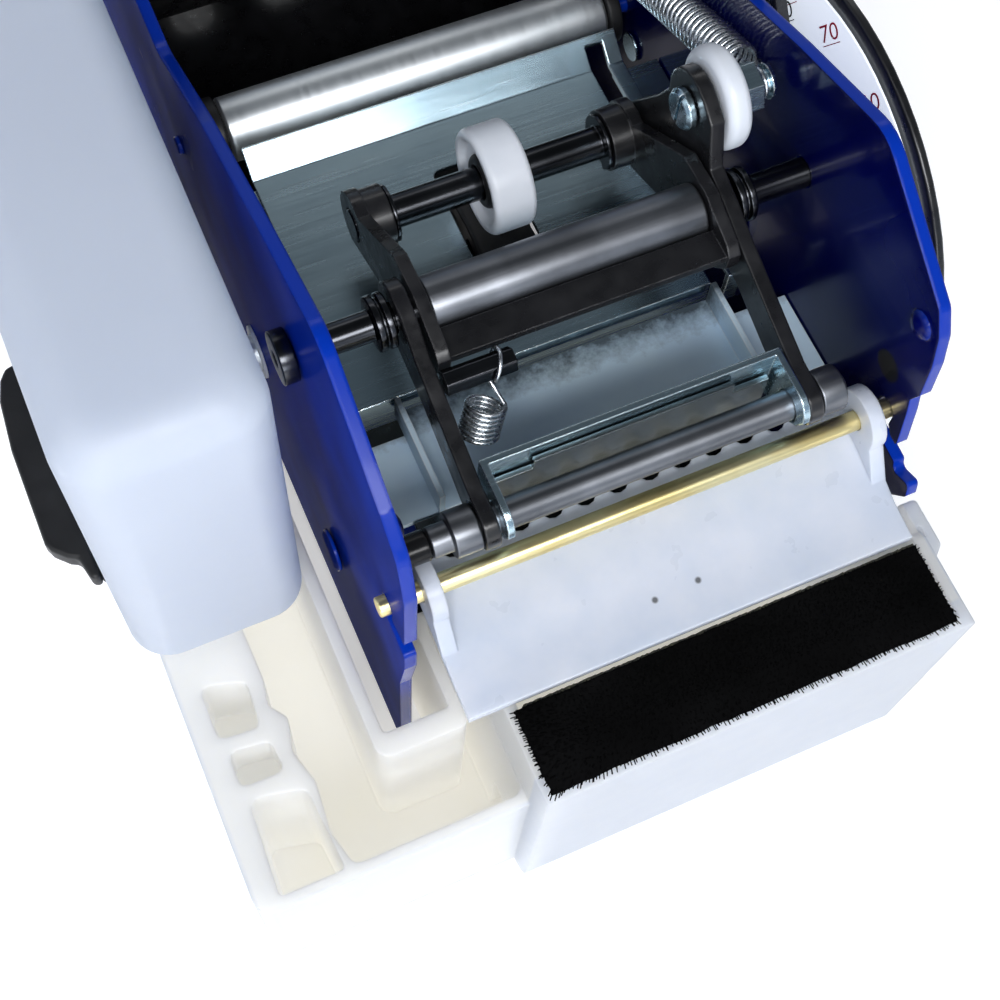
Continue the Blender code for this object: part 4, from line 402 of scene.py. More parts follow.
finishes["nylon"] = moulded("nylon", (0.70, 0.73, 0.79), (0.63, 0.67, 0.73), 0.28, 0.42, 0.25, 0.0015)
finishes["white_plastic"] = moulded(
    "white_plate", (0.63, 0.66, 0.74), (0.54, 0.59, 0.69), 0.26, 0.40, 0.60, 0.004, 60.0)
finishes["bottle_plastic"] = moulded(
    "milky_bottle", (0.67, 0.71, 0.79), (0.61, 0.65, 0.74), 0.38, 0.50, 0.60, 0.008, 9.0)
finishes["black_plastic"] = moulded(
    "black_moulding", (0.007, 0.007, 0.008), (0.004, 0.004, 0.005), 0.42, 0.60)
finishes["olive_plastic"] = moulded(
    "olive_holder", (0.075, 0.072, 0.040), (0.018, 0.017, 0.010), 0.50, 0.70, scale=420.0)
finishes["rubber"] = moulded(
    "rubber", (0.020, 0.020, 0.021), (0.010, 0.010, 0.011), 0.65, 0.85, depth=0.00003)
finishes["paper_label"] = moulded("dial_paper", (0.93, 0.94, 0.96), (0.89, 0.90, 0.93), 0.40, 0.50)
finishes["bristle"] = moulded("bristle_black", (0.0035, 0.0035, 0.0038), (0.0015, 0.0015, 0.0016), 0.85, 0.95)
bottle = finishes["bottle_plastic"]
milky(bottle.node_tree, shader_of(bottle), 0.32, (0.80, 0.88, 0.98))
dress(shader_of(finishes["bristle"]), {"Specular IOR Level": 0.05})
# Painted light: the label glows bluish white, so it reads bright in the right plate's shadow.
dress(shader_of(finishes["paper_label"]),
      {"Emission Color": (0.80, 0.88, 1.0, 1.0), "Emission Strength": 0.58})
print("finishes: nylon, white plate, bottle, black, olive, rubber, label, bristle")

# %% [markdown]
# Two specks of dried glue lie on the white plate. Each is a dark spot that the distance to a point
# switches on.

# %% Specks on the white plate
speck_inner, speck_outer, glue = 0.4 * MM, 0.8 * MM, (0.06, 0.06, 0.06)
tree, shader = finishes["white_plastic"].node_tree, shader_of(finishes["white_plastic"])
for speck in (spot(-5.5, -15.7, 72.9), spot(3.85, -15.3, 73.0)):
    away = maths(tree, "DISTANCE", own_space(tree), speck, kind="ShaderNodeVectorMath")
    inked = between(tree, away, 0.85, 0.0, speck_inner, speck_outer)
    clean = shader.inputs["Base Color"].links[0].from_socket
    dress(shader, {"Base Color": mixed(tree, inked, clean, glue)})
print("specks: 2")

# %% [markdown]
# The tank is a special case. Its outside is painted a bluish white, the look of the lit outer skin, and
# inside it is cream, darker and creamier in blotches towards the floor: partly a stain, partly painted
# shade deep in the tray. Outside is told by place: the outer skin lies on the tank's own box, and the
# tray's front wall a little behind that of the brush box. Milky plastic also hands light on from wall to
# wall, so a share of it is translucent, and a faint painted glow below the rim stands for the many small
# bounces down there.

# %% Ivory tank
tank_left, tray_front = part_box("water_tank")[0].x, spot(0, -38.0, 0).y
skin_from, skin_to = 0.2 * MM, 1.0 * MM
ivory_lit_outside, ivory_cream, ivory_stain_and_shade = (0.74, 0.79, 0.91), (0.92, 0.91, 0.88), (0.86, 0.84, 0.76)
ivory, tree, shader = bare_finish("ivory_tank", ivory_cream, 0.35)
at = axes(tree)
# Painted shade and stain: darker, creamier blotches towards the tray floor.
depth_share = between(tree, at["Z"], 1.0, 0.0, 0.004, 0.030)
blotches = between(tree, grain(tree, 38.0, detail=4.0), 0.05, 0.65)
inside = mixed(tree, maths(tree, "MULTIPLY", depth_share, blotches), ivory_cream, ivory_stain_and_shade)
# Painted light: the outer skin gets a bluish white, as lit.
front_skin = between(tree, at["Y"], 1.0, 0.0, tray_front + skin_from, tray_front + skin_to)
left_skin = between(tree, at["X"], 1.0, 0.0, tank_left + skin_from, tank_left + skin_to)
right_skin = between(tree, at["X"], 0.0, 1.0, spot(49.8, 0, 0).x, spot(50.2, 0, 0).x)
outside = maths(tree, "MAXIMUM", maths(tree, "MAXIMUM", front_skin, left_skin), right_skin)
dress(shader, {"Base Color": mixed(tree, outside, inside, ivory_lit_outside),
               "Roughness": between(tree, grain(tree, 150.0), 0.28, 0.44),
               "Subsurface Weight": 0.9, "Subsurface Scale": 0.010,
               "Subsurface Radius": (1.0, 0.96, 0.88)})
relief(tree, shader, grain(tree, 200.0, detail=2.0), 0.00001, 0.0009)
milky(tree, shader, 0.35, (0.97, 0.96, 0.93))
below_rim = between(tree, at["Z"], 0.24, 0.03, 0.010, 0.054)
past_skin = maths(tree, "SUBTRACT", 1.0, outside, use_clamp=True)
inner_glow = maths(tree, "MULTIPLY", below_rim, past_skin)
dress(shader, {"Emission Color": inside, "Emission Strength": inner_glow})
finishes["ivory_plastic"] = ivory
print("finish:", ivory.name)

# %% [markdown]
# ## Dressing the carried-over pieces
# The record names a material slot for each piece, and the finishes use the same names. So one loop
# dresses the whole machine, and the few pieces that differ from their slot follow.

# %% Give every piece its finish
for entry in frame["record"]["subparts"]:
    piece = nodes[entry["node"]]
    piece.data.materials.clear()
    piece.data.materials.append(finishes[entry["material_slot"]])
nodes["front_table"].data.materials[0] = frosted
for name in ("front_tie", "roller_axle"):
    nodes[name].data.materials[0] = blue
for name in ("moving_blade", "fixed_blade"):
    nodes[name].data.materials[0] = finishes["blade_steel"]
for name in ("pressure_shaft", "left_stud"):
    nodes[name].data.materials[0] = finishes["oiled_steel"]

# %% [markdown]
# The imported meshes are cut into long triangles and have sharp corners. Four modifiers give them soft
# ones without touching the mesh itself: weld the seams, join flat neighbours, round each corner by a
# fraction of a millimetre, and let the large faces steer the shading.

# %% Soft corners on the carried-over pieces
soft_corner = {"blue_paint": 0.45, "black_paint": 0.35, "white_plastic": 0.5, "ivory_plastic": 0.5}


def soften(piece, radius):
    """Adds the four modifiers; radius is the corner radius in metres."""
    piece.data.polygons.foreach_set("use_smooth", [True] * len(piece.data.polygons))
    weld = piece.modifiers.new("weld", "WELD")
    weld.merge_threshold = 0.000005
    flat = piece.modifiers.new("flat", "DECIMATE")
    flat.decimate_type = "DISSOLVE"
    flat.angle_limit = math.radians(0.8)
    corner = piece.modifiers.new("corner", "BEVEL")
    corner.width = radius
    corner.segments = 3
    corner.limit_method = "ANGLE"
    corner.angle_limit = math.radians(34)
    corner.use_clamp_overlap = True
    shade = piece.modifiers.new("shade", "WEIGHTED_NORMAL")
    shade.keep_sharp = True


for entry in frame["record"]["subparts"]:
    soften(nodes[entry["node"]], soft_corner.get(entry["material_slot"], 0.25) * MM)
print("softened every carried-over piece")

# %% [markdown]
# ## Shapes made of rings
# Every finer shape here is a row of rings of points, joined by walls: a shaft, a wire, a bristle or
# the bottle. A ring may be a single point, where a lathe's profile meets its axis.

# %% Rings, walls and solids
X_WAY, Y_WAY, Z_WAY = Vector((1, 0, 0)), Vector((0, 1, 0)), Vector((0, 0, 1))
POLE = 1e-6


def around(middle, side_way, up_way, radius, share):
    """A point on a circle; a share of 1 is once round."""
    angle = math.tau * share
    return middle + (side_way * math.cos(angle) + up_way * math.sin(angle)) * radius


def walls(mesh, rings):
    """Joins each ring of points to the next one; a ring may be a single point."""
    for first, second in zip(rings, rings[1:]):
        count = max(len(first), len(second))
        for index in range(count if count > 1 else 0):
            following = (index + 1) % count
            corners = [first[index % len(first)], first[following % len(first)],
                       second[following % len(second)], second[index % len(second)]]
            mesh.faces.new(list(dict.fromkeys(corners)))


def solid(mesh, rings):
    """A closed shape: walls from ring to ring, and a face at each end."""
    walls(mesh, rings)
    mesh.faces.new(rings[0][::-1])
    mesh.faces.new(rings[-1])
    bmesh.ops.recalc_face_normals(mesh, faces=mesh.faces)


print("ring helpers ready")

# %% [markdown]
# ### Shapes that turn on a lathe
# Shafts, rollers and wheels are solids of revolution. A profile of (radius, place along x) is spun
# round an axis with many more steps than the CAD needs, so highlights run along it unbroken. Each
# finished mesh then rides on the body of the CAD piece that it stands for.

# %% Lathe helper
def lathe(name, node, profile, slot, steps=72):
    """A piece spun from (radius, x) points in millimetres about a CAD node's own axis."""
    centre = middle_of(node)
    mesh = bmesh.new()
    rings = []
    for radius, x in profile:
        middle = Vector((rod_centre.x + x * MM, centre.y, centre.z))
        rings.append([mesh.verts.new(around(middle, Y_WAY, Z_WAY, radius * MM, step / steps))
                      for step in range(steps if radius > POLE else 1)])
    walls(mesh, rings + rings[:1] if profile[0][0] > POLE else rings)
    bmesh.ops.recalc_face_normals(mesh, faces=mesh.faces)
    return add_piece(name, mesh, slot, node)


def add_piece(name, mesh, slot, node, replaces=True, sharp=30.0):
    """Puts a finished mesh in the scene with the slot's finish, on the node's own body."""
    data = bpy.data.meshes.new(name)
    mesh.to_mesh(data)
    mesh.free()
    data.polygons.foreach_set("use_smooth", [True] * len(data.polygons))
    data.set_sharp_from_angle(angle=math.radians(sharp))
    data.materials.append(finishes[slot])
    piece = bpy.data.objects.new(name, data)
    bpy.context.scene.collection.objects.link(piece)
    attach(piece, nodes[node]["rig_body"])
    if replaces:
        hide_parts(node)
    print("made", name, len(data.polygons), "faces")
    return piece


def rounded_profile(corners, radius, steps=4):
    """A profile with its corners rounded, for soft edges on turned and moulded pieces."""
    points = []
    count = len(corners)
    for index, corner in enumerate(corners):
        here = Vector(corner)
        if index in (0, count - 1) and corner[0] < POLE:
            points.append(tuple(here))
            continue
        before, after = Vector(corners[index - 1]), Vector(corners[(index + 1) % count])
        into, out = before - here, after - here
        cut = min(radius, 0.45 * into.length, 0.45 * out.length)
        start, end = here + into.normalized() * cut, here + out.normalized() * cut
        for step in range(steps + 1):
            t = step / steps
            point = start.lerp(here, t).lerp(here.lerp(end, t), t)
            points.append(tuple(point))
    return points


print("lathe ready")

# %% [markdown]
# ### Brass rod, shafts and the blade bar
# The rod is plain drawn brass with broken edges. The shafts show what the CAD's solids show, with their
# heads and collars rounded a little more finely.

# %% Rod, pivot shaft, tube and blade bar
half_rod = (rod_high.x - rod_low.x) / 2 / MM
rod_profile = rounded_profile([(0, -half_rod), (2.0, -half_rod), (2.0, half_rod), (0, half_rod)], 0.5)
lathe("drawn_rod", "brass_rod", rod_profile, "brass", 48)

outer_face = 53.5
head = outer_face + 3.4
collar_in, collar_out, collar_gap = 35.0, 38.4, 36.7
pivot_half = [(3.0, collar_in), (5.4, collar_in), (5.4, collar_gap - 0.3), (4.6, collar_gap - 0.3),
              (4.6, collar_gap + 0.3), (5.4, collar_gap + 0.3), (5.4, collar_out), (3.0, collar_out),
              (3.0, outer_face + 0.3), (5.2, outer_face + 0.3), (5.2, head), (1.6, head),
              (1.0, head - 0.8), (0, head - 0.8)]
pivot_profile = [(r, -x) for r, x in reversed(pivot_half)] + pivot_half
pin = lathe("pivot_pin", "pivot_shaft", rounded_profile(pivot_profile, 0.35), "black_steel", 56)
pin.data.materials[0] = finishes["oiled_steel"]

tube_low, tube_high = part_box("spacer_tube")
tube_half = (tube_high.x - tube_low.x) / 2 / MM
tube_profile = [(3.2, -tube_half), (5.5, -tube_half), (5.5, tube_half), (3.2, tube_half)]
lathe("arm_tube", "spacer_tube", rounded_profile(tube_profile, 0.5), "black_steel")

bar_low, bar_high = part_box("blade_bar")
bar_from, bar_to = (bar_low.x - rod_centre.x) / MM, (bar_high.x - rod_centre.x) / MM
collar_near, collar_far = 34.6, 39.7
bar_profile = [(0, bar_from), (3.0, bar_from), (3.0, -collar_far), (4.5, -collar_far), (4.5, -collar_near),
               (3.0, -collar_near), (3.0, collar_near), (4.5, collar_near), (4.5, collar_far),
               (3.0, collar_far), (3.0, bar_to), (0, bar_to)]
lathe("cutter_bar", "blade_bar", rounded_profile(bar_profile, 0.4), "black_steel")

# %% [markdown]
# ### Entry roller
# The tape first meets a bright roller with black plastic caps. Its ends are broken by a small
# chamfer, so that they catch a thin line of light where the tube meets its cap.

# %% Entry roller and its caps
roller_end = (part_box("entry_roller")[1].x - rod_centre.x) / MM
bore, cap_dish = 2.4, 0.8
roller_profile = [(bore, -roller_end), (6.5, -roller_end), (7.0, -roller_end + 0.6)]
roller_profile += [(r, -x) for r, x in reversed(roller_profile)]
lathe("bright_roller", "entry_roller", rounded_profile(roller_profile, 0.15, 2), "bright_steel", 96)
for side, word in ((-1, "left"), (1, "right")):
    node = "roller_cap_" + word
    near, far = sorted(((corner.x - rod_centre.x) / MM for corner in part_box(node)), reverse=side < 0)
    cap_profile = [(bore, near), (7.7, near), (7.7, far), (5.4, far), (5.0, far - side * cap_dish),
                   (bore, far - side * cap_dish)]
    lathe(word + "_roller_cap", node, rounded_profile(cap_profile, 0.5), "black_plastic", 64)

# %% [markdown]
# ### Lever grip
# The moulded grip leans with the lever, so its axis is measured first: it is the longest direction of the
# CAD grip's own points. The ring of points at its foot tells where the axis runs.

# %% Measure the grip
grip = nodes["lever_grip"]
grip_points = np.array([grip.matrix_world @ v.co for v in grip.data.vertices])
grip_middle = grip_points.mean(axis=0)
grip_axis = np.linalg.svd(grip_points - grip_middle)[2][0]
grip_axis = grip_axis if grip_axis[2] > 0 else -grip_axis
along_grip = (grip_points - grip_middle) @ grip_axis
off_axis = grip_points - grip_middle - np.outer(along_grip, grip_axis)
foot_ring = off_axis[along_grip < along_grip.min() + 0.5 * MM]
grip_middle = grip_middle + (foot_ring.max(axis=0) + foot_ring.min(axis=0)) / 2
grip_length = along_grip.max() - along_grip.min()
off_axis = grip_points - grip_middle
off_axis -= np.outer(off_axis @ grip_axis, grip_axis)
inside_cad = 0.985
grip_radius = np.linalg.norm(off_axis, axis=1).max() * inside_cad
print("grip", round(grip_length, 4), "long and", round(grip_radius * 2, 4), "across")

# %% [markdown]
# It is then turned along that axis. Its radius grows from foot to dome, dips three times for the
# fingers, and closes in a dome that keeps just inside the CAD's.

# %% Lever grip
grip_levels, grip_sides = 60, 48
dome_start, dome_flat = 10 / 12, 0.96
fingers, finger_end, finger_dip = 3, 0.75, 1.6 * MM
slim_foot, foot_step = 0.86, 0.6 * MM
grip_way = Vector(grip_axis)
grip_side = grip_way.cross(X_WAY).normalized()
grip_foot = Vector(grip_middle) + grip_way * along_grip.min()
mesh = bmesh.new()
rings = []
for level in range(grip_levels + 1):
    share = level / grip_levels
    dip = math.sin(math.pi * share / finger_end * fingers) ** 2 if share < finger_end else 0.0
    reach = grip_radius * (slim_foot + (1 - slim_foot) * min(share / dome_start, 1.0)) - finger_dip * dip
    into_dome = max(share - dome_start, 0.0) / (1 - dome_start)
    reach *= math.sqrt(1 - into_dome ** 2 * dome_flat)
    if level == 0:
        reach -= foot_step
    ring_middle = grip_foot + grip_way * ((grip_length - foot_step) * share)
    rings.append([mesh.verts.new(around(ring_middle, X_WAY, grip_side, reach, turn / grip_sides))
                  for turn in range(grip_sides)])
solid(mesh, rings)
add_piece("finger_grip", mesh, "black_plastic", "lever_grip", sharp=50.0)

# %% [markdown]
# ### White wheels
# The pressure wheel is a nylon ring with a dished side and a dark hub. The hub is a piece of its own
# here, because it is another plastic. The follower roller is plain, with rounded corners.

# %% Pressure wheel, hub and follower
half = 4.5
wheel_rim = [(5.6, -half * 0.62), (8.0, -half * 0.62), (8.9, -half), (10.3, -half), (11.0, -half + 0.9),
             (11.0, half - 0.9), (10.3, half), (8.9, half), (8.0, half * 0.62), (5.6, half * 0.62)]
lathe("white_wheel", "pressure_wheel", rounded_profile(wheel_rim, 0.5), "nylon", 96)
hub_rim = [(3.7, -half * 0.86), (5.0, -half * 0.86), (5.6, -half * 0.70), (5.6, half * 0.70),
           (5.0, half * 0.86), (3.7, half * 0.86)]
lathe("wheel_hub", "pressure_wheel", rounded_profile(hub_rim, 0.3), "black_plastic", 72)
roller_from, roller_to = [(v.x - rod_centre.x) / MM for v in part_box("cam_follower")]
follower_rim = [(2.7, roller_from), (9.0, roller_from), (10.0, roller_from + 1.2), (10.0, roller_to - 1.2),
                (9.0, roller_to), (2.7, roller_to)]
lathe("follower_wheel", "cam_follower", rounded_profile(follower_rim, 0.8), "nylon", 80)

# %% [markdown]
# ## Springs
# A coil spring is a wire swept along a helix. The CAD carries the same springs with few sides. Here
# a tube mesh is laid round the helix, ring by ring, with loops at both ends. The main spring is hooked
# to a fixed pin and to the swinging cutter; here it rides on neither body and stays where it is drawn.

# %% Wire helper and helix
def tube_along(points, radius, sides=10):
    """A round wire along points in metres, closed at both ends."""
    mesh = bmesh.new()
    rings = []
    side_way = Vector((0.3, 0.5, 0.8))
    for index, point in enumerate(points):
        ahead = points[min(index + 1, len(points) - 1)] - points[max(index - 1, 0)]
        ahead.normalize()
        side_way = (side_way - ahead * side_way.dot(ahead)).normalized()
        up_way = ahead.cross(side_way)
        rings.append([mesh.verts.new(around(point, side_way, up_way, radius, step / sides))
                      for step in range(sides)])
    solid(mesh, rings)
    return mesh


def helix(start, end, radius, turns, per_turn=28):
    """Points of a helix between two points."""
    along = (end - start).normalized()
    across = (X_WAY - along * X_WAY.dot(along)).normalized()
    third = along.cross(across)
    count = turns * per_turn
    return [around(start.lerp(end, step / count), across, third, radius, step / per_turn)
            for step in range(count + 1)]


def hook(centre, along, radius, steps=22):
    """A loop round a pin that lies along x; it opens towards the coil."""
    up_way = X_WAY.cross(along)
    return [around(centre, along, up_way, radius, (20 + 300 * step / steps) / 360)
            for step in range(steps + 1)]


print("wire helper ready")

# %% [markdown]
# The long spring's two ends are found from the pieces that it hooks on: the follower's post on the
# cutter frame, and a fixed pin. The coil between them has as many turns as its pitch allows.

# %% Main spring
post, anchor = middle_of("follower_post"), middle_of("spring_anchor")
spring_low, spring_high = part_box("cutter_spring")
hook_x = (spring_low.x + spring_high.x) / 2
post_end, pin_end = Vector((hook_x, post.y, post.z)), Vector((hook_x, anchor.y, anchor.z))
along = (pin_end - post_end).normalized()
wire_radius, coil_pitch, play = 0.46 * MM, 1.60 * MM, 0.1 * MM
post_radius, pin_radius = 2.2 * MM, 1.5 * MM
coil_radius = (spring_high.x - spring_low.x) / 2 - wire_radius
coil_from, coil_to = post_end + along * 0.0066, pin_end - along * 0.0062
turns = int((coil_to - coil_from).length / coil_pitch)
coil = helix(coil_from, coil_to, coil_radius, turns)
first_loop = hook(post_end, along, post_radius + wire_radius + play)
last_loop = hook(pin_end, -along, pin_radius + wire_radius + play)
line = first_loop[::-1] + [first_loop[0].lerp(coil[0], 0.5)] + coil
line += [coil[-1].lerp(last_loop[0], 0.5)] + last_loop
long_wire = tube_along(line, wire_radius)
main_spring = add_piece("main_spring", long_wire, "spring_steel", "cutter_spring", sharp=80.0)
main_spring.parent = None
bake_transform(main_spring)

# %% [markdown]
# The small spring hangs from the black stud by one loop, and its coil leans along the CAD spring's box.

# %% Small spring
small_low, small_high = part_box("blade_spring")
small_wire, small_radius, small_turns = 0.42 * MM, 3.6 * MM, 7
inset, raised, stud_radius, beside_stud = 3.3 * MM, 1.0 * MM, 2.8 * MM, 3.2 * MM
small_top = small_high - Vector((inset, inset, inset - raised))
small_end = small_low + Vector((inset, inset, inset))
small_coil = helix(small_top, small_end, small_radius, small_turns)
stud_middle = middle_of("left_stud")
stud_middle.x = small_top.x + beside_stud
over_stud = hook(stud_middle, (small_top - stud_middle).normalized(), stud_radius + small_wire)
small_line = over_stud[::-1] + [over_stud[0].lerp(small_coil[0], 0.5)] + small_coil
add_piece("small_spring", tube_along(small_line, small_wire), "spring_steel", "blade_spring", sharp=80.0)

# %% [markdown]
# ## The brush
# The moistening brush is a dense block of black bristles, cut level, that splays a little at its edge.
# Thousands of tapered three-sided bristles stand on a dark core. Each leans by its own small amount, more
# so at the rim, from a seeded generator, so the brush is the same on every run.

# %% Bristles
brush_low, brush_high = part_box("brush_bristles")
rng = random.Random(7)
root_z, knee_z, crown_z = brush_high.z - 0.0120, brush_high.z - 0.0009, brush_high.z + 0.0002
crown_left, crown_right = spot(-39.4, 0, 0).x, spot(47.0, 0, 0).x
crown_front, crown_rear = spot(0, -42.4, 0).y, spot(0, -24.7, 0).y
root_inset, bristle_step, bristle_width = 0.0004, 0.00052, 0.00020
straight, knee_share, tip_wander = 0.55, 0.12, 0.00016
columns = int((brush_high.x - brush_low.x) / bristle_step)
rows_deep = int((brush_high.y - brush_low.y) / bristle_step)


def splayed(share, low, high, root_low, root_high):
    """Where a bristle's tip ends: straight up inside the block, out to the rim near its edge."""
    root = root_low + root_inset + share * (root_high - root_low - 2 * root_inset)
    spread = low + share * (high - low)
    rim = max(0.0, abs(share - 0.5) * 2 - straight) / (1 - straight)
    return root, root + (spread - root) * rim


mesh = bmesh.new()
for column in range(columns + 1):
    for row in range(rows_deep + 1):
        share_x = min(max((column + rng.uniform(-0.4, 0.4)) / columns, 0.0), 1.0)
        share_y = min(max((row + rng.uniform(-0.4, 0.4)) / rows_deep, 0.0), 1.0)
        x, tip_x = splayed(share_x, crown_left, crown_right, brush_low.x, brush_high.x)
        y, tip_y = splayed(share_y, crown_front, crown_rear, brush_low.y, brush_high.y)
        tip_x += rng.gauss(0, tip_wander)
        tip_y = min(tip_y + rng.gauss(0, tip_wander), crown_rear)
        tip_z = crown_z - abs(rng.gauss(0, 0.00015))
        knee = Vector((x + (tip_x - x) * knee_share, y + (tip_y - y) * knee_share, knee_z))
        spine = [Vector((x, y, root_z)), knee, Vector((tip_x, tip_y, tip_z))]
        twist = rng.uniform(0, math.tau) / math.tau
        rings = [[mesh.verts.new(around(level, X_WAY, Y_WAY, bristle_width * taper, twist + step / 3))
                  for step in range(3)] for level, taper in zip(spine, (1.0, 1.0, 0.7))]
        walls(mesh, rings)
        mesh.faces.new(rings[-1])
add_piece("bristle_block", mesh, "bristle", "brush_bristles", sharp=80.0)

# %% [markdown]
# Under the tips lies the dark mat of all the bristles that can't be told apart: it fills the holder and
# flares over the box's rim as they do. Behind it stands a thin olive strip of felt, torn a little
# along its top, that keeps the bristles off the white plate.

# %% Core and felt strip
mat_levels = [(brush_low.z, 0.0), (knee_z - 0.0004, 0.0), (crown_z - 0.0008, 0.72), (crown_z - 0.0004, 0.78),
              (crown_z - 0.0003, 0.60)]
side_steps, fray = 40, 0.2 * MM
mesh = bmesh.new()
rings = []
for z, flare in mat_levels:
    x0 = brush_low.x + (crown_left - brush_low.x) * flare
    x1 = brush_high.x + (crown_right - brush_high.x) * flare
    y0 = brush_low.y + (crown_front - brush_low.y) * flare
    y1 = brush_high.y + (crown_rear - brush_high.y) * flare
    ring = []
    for cx, cy, dx, dy in ((x0, y0, 1, 0), (x1, y0, 0, 1), (x1, y1, -1, 0), (x0, y1, 0, -1)):
        length = (x1 - x0) if dx else (y1 - y0)
        for step in range(side_steps):
            ragged = rng.uniform(-fray, fray) if flare else 0.0
            run = length * step / side_steps
            x, y = cx + dx * run + ragged * abs(dy), cy + dy * run + ragged * abs(dx)
            ring.append(mesh.verts.new((x, y, z)))
    rings.append(ring)
solid(mesh, rings)
add_piece("bristle_core", mesh, "bristle", "brush_bristles")

holder_low, holder_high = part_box("brush_holder")
felt_back, felt_front = holder_high.y - 0.0001, holder_high.y - 0.0008
felt_foot, felt_top = holder_high.z + 0.0001, brush_high.z - 0.0008
felt_from, felt_to, felt_steps = holder_low.x + 0.6 * MM, holder_high.x - 0.6 * MM, 170
mesh = bmesh.new()
rings = []
for step in range(felt_steps + 1):
    x = felt_from + (felt_to - felt_from) * step / felt_steps
    torn = felt_top + rng.uniform(-0.0004, 0.0004)
    section = ((felt_front, felt_foot), (felt_back, felt_foot),
               (felt_back, torn), (felt_front, torn + 0.2 * MM))
    rings.append([mesh.verts.new((x, y, z)) for y, z in section])
solid(mesh, rings)
add_piece("felt_strip", mesh, "olive_plastic", "brush_holder", replaces=False)

# %% [markdown]
# ## The bottle
# A blow-moulded bottle has no sharp corner anywhere: the wall turns smoothly from top to side. The
# body is built of rounded outlines, one over the other, whose corners and inset follow a quarter circle
# at the top and at the shoulder.

# %% Bottle body
bottle_low, bottle_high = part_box("water_bottle")
tray_top = 52.3 * MM


def rounded_outline(low_x, high_x, low_y, high_y, radius, steps=10):
    """A rectangle with round corners, as points counted the same way at every level."""
    points = []
    for cx, cy, start in ((high_x - radius, high_y - radius, 0), (low_x + radius, high_y - radius, 90),
                          (low_x + radius, low_y + radius, 180), (high_x - radius, low_y + radius, 270)):
        for step in range(steps + 1):
            angle = math.radians(start + 90 * step / steps)
            points.append((cx + radius * math.cos(angle), cy + radius * math.sin(angle)))
    return points


corner_radius, top_radius, foot_radius = 8.0 * MM, 7.5 * MM, 6.0 * MM
bends = [(1 - math.sin(a), 1 - math.cos(a)) for a in (math.radians(90 * step / 8) for step in range(9))]
levels = [(foot_radius * s, tray_top + foot_radius * c) for s, c in bends]
levels += [(top_radius * c, bottle_high.z - top_radius * s) for s, c in bends]
mesh = bmesh.new()
rings = []
for inset, z in levels:
    outline = rounded_outline(bottle_low.x + inset, bottle_high.x - inset, bottle_low.y + inset,
                              bottle_high.y - inset, max(corner_radius - inset * 0.5, 0.002))
    rings.append([mesh.verts.new((x, y, z)) for x, y in outline])
solid(mesh, rings)
add_piece("bottle_body", mesh, "bottle_plastic", "water_bottle", sharp=60.0)

cap_low, cap_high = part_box("bottle_cap")
neck_middle = (cap_low + cap_high) / 2
neck_reach, neck_steps = (cap_high.x - cap_low.x) / 2 - 1.8 * MM, 48
mesh = bmesh.new()
rings = []
for z in (cap_high.z - 0.004, tray_top + 0.0010):
    neck_middle.z = z
    rings.append([mesh.verts.new(around(neck_middle, X_WAY, Y_WAY, neck_reach, step / neck_steps))
                  for step in range(neck_steps)])
solid(mesh, rings)
add_piece("bottle_neck", mesh, "bottle_plastic", "water_bottle", sharp=60.0)

# %% [markdown]
# The clip that holds the bottle is a thin black moulding on the tank's left wall. Its outline is a
# rounded rail with a stepped tongue at the front, and beside the bottle it has a sunk groove.

# %% Bottle clip
wall_x, clip_rear, clip_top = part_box("bottle_clip")[1]
clip_foot, groove_floor = clip_top - 5.0 * MM, clip_top - 3.2 * MM
rail = [(0.0, 0.0), (-5.4, -0.6), (-8.8, -1.3), (-10.6, -3.7), (-12.0, -8.2), (-13.1, -20.0),
        (-13.1, -42.4), (-12.3, -44.3), (-9.8, -46.9), (-7.9, -47.9), (-6.8, -53.2), (-4.9, -53.4),
        (-4.9, -34.9), (-1.6, -33.4), (0.0, -33.4)]
groove = [(0.0, -33.4), (-1.6, -33.4), (-4.9, -34.9), (-4.9, -53.4), (0.0, -53.9)]
mesh = bmesh.new()
for outline, top in ((rail, clip_top), (groove, groove_floor)):
    solid(mesh, [[mesh.verts.new((wall_x + x * MM, clip_rear + y * MM, z)) for x, y in outline]
                 for z in (clip_foot, top)])
clip = add_piece("moulded_clip", mesh, "black_plastic", "bottle_clip", sharp=30.0)
rounding = clip.modifiers.new("corner", "BEVEL")
rounding.width = 0.9 * MM
rounding.segments = 3
rounding.limit_method = "ANGLE"
rounding.angle_limit = math.radians(40)
clip.modifiers.new("shade", "WEIGHTED_NORMAL")

# %% [markdown]
# ## Dial print
# The dial carries a white scale with plain numbers: red ones near the rim, black ones further in, each
# over a short rule. Text objects turned into meshes lie on the label. The plate is seen
# from its left side, so the print faces that way.

# %% Numbers and rules on the dial
finishes["red_ink"] = moulded("red_ink", (0.52, 0.02, 0.05), (0.42, 0.015, 0.04), 0.4, 0.5)
finishes["black_ink"] = moulded("black_ink", (0.015, 0.015, 0.017), (0.010, 0.010, 0.012), 0.4, 0.5)
print_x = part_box("gauge_label")[0].x - 0.03 * MM
reading, upright = math.radians(123), math.radians(40)
dial_y, dial_z = 61.0, 67.0
number_wide, number_tall = 7.2 * MM, 3.4 * MM
rule_line = ((-0.5, -0.72), (0.5, -0.72), (0.5, -0.66), (-0.5, -0.66))


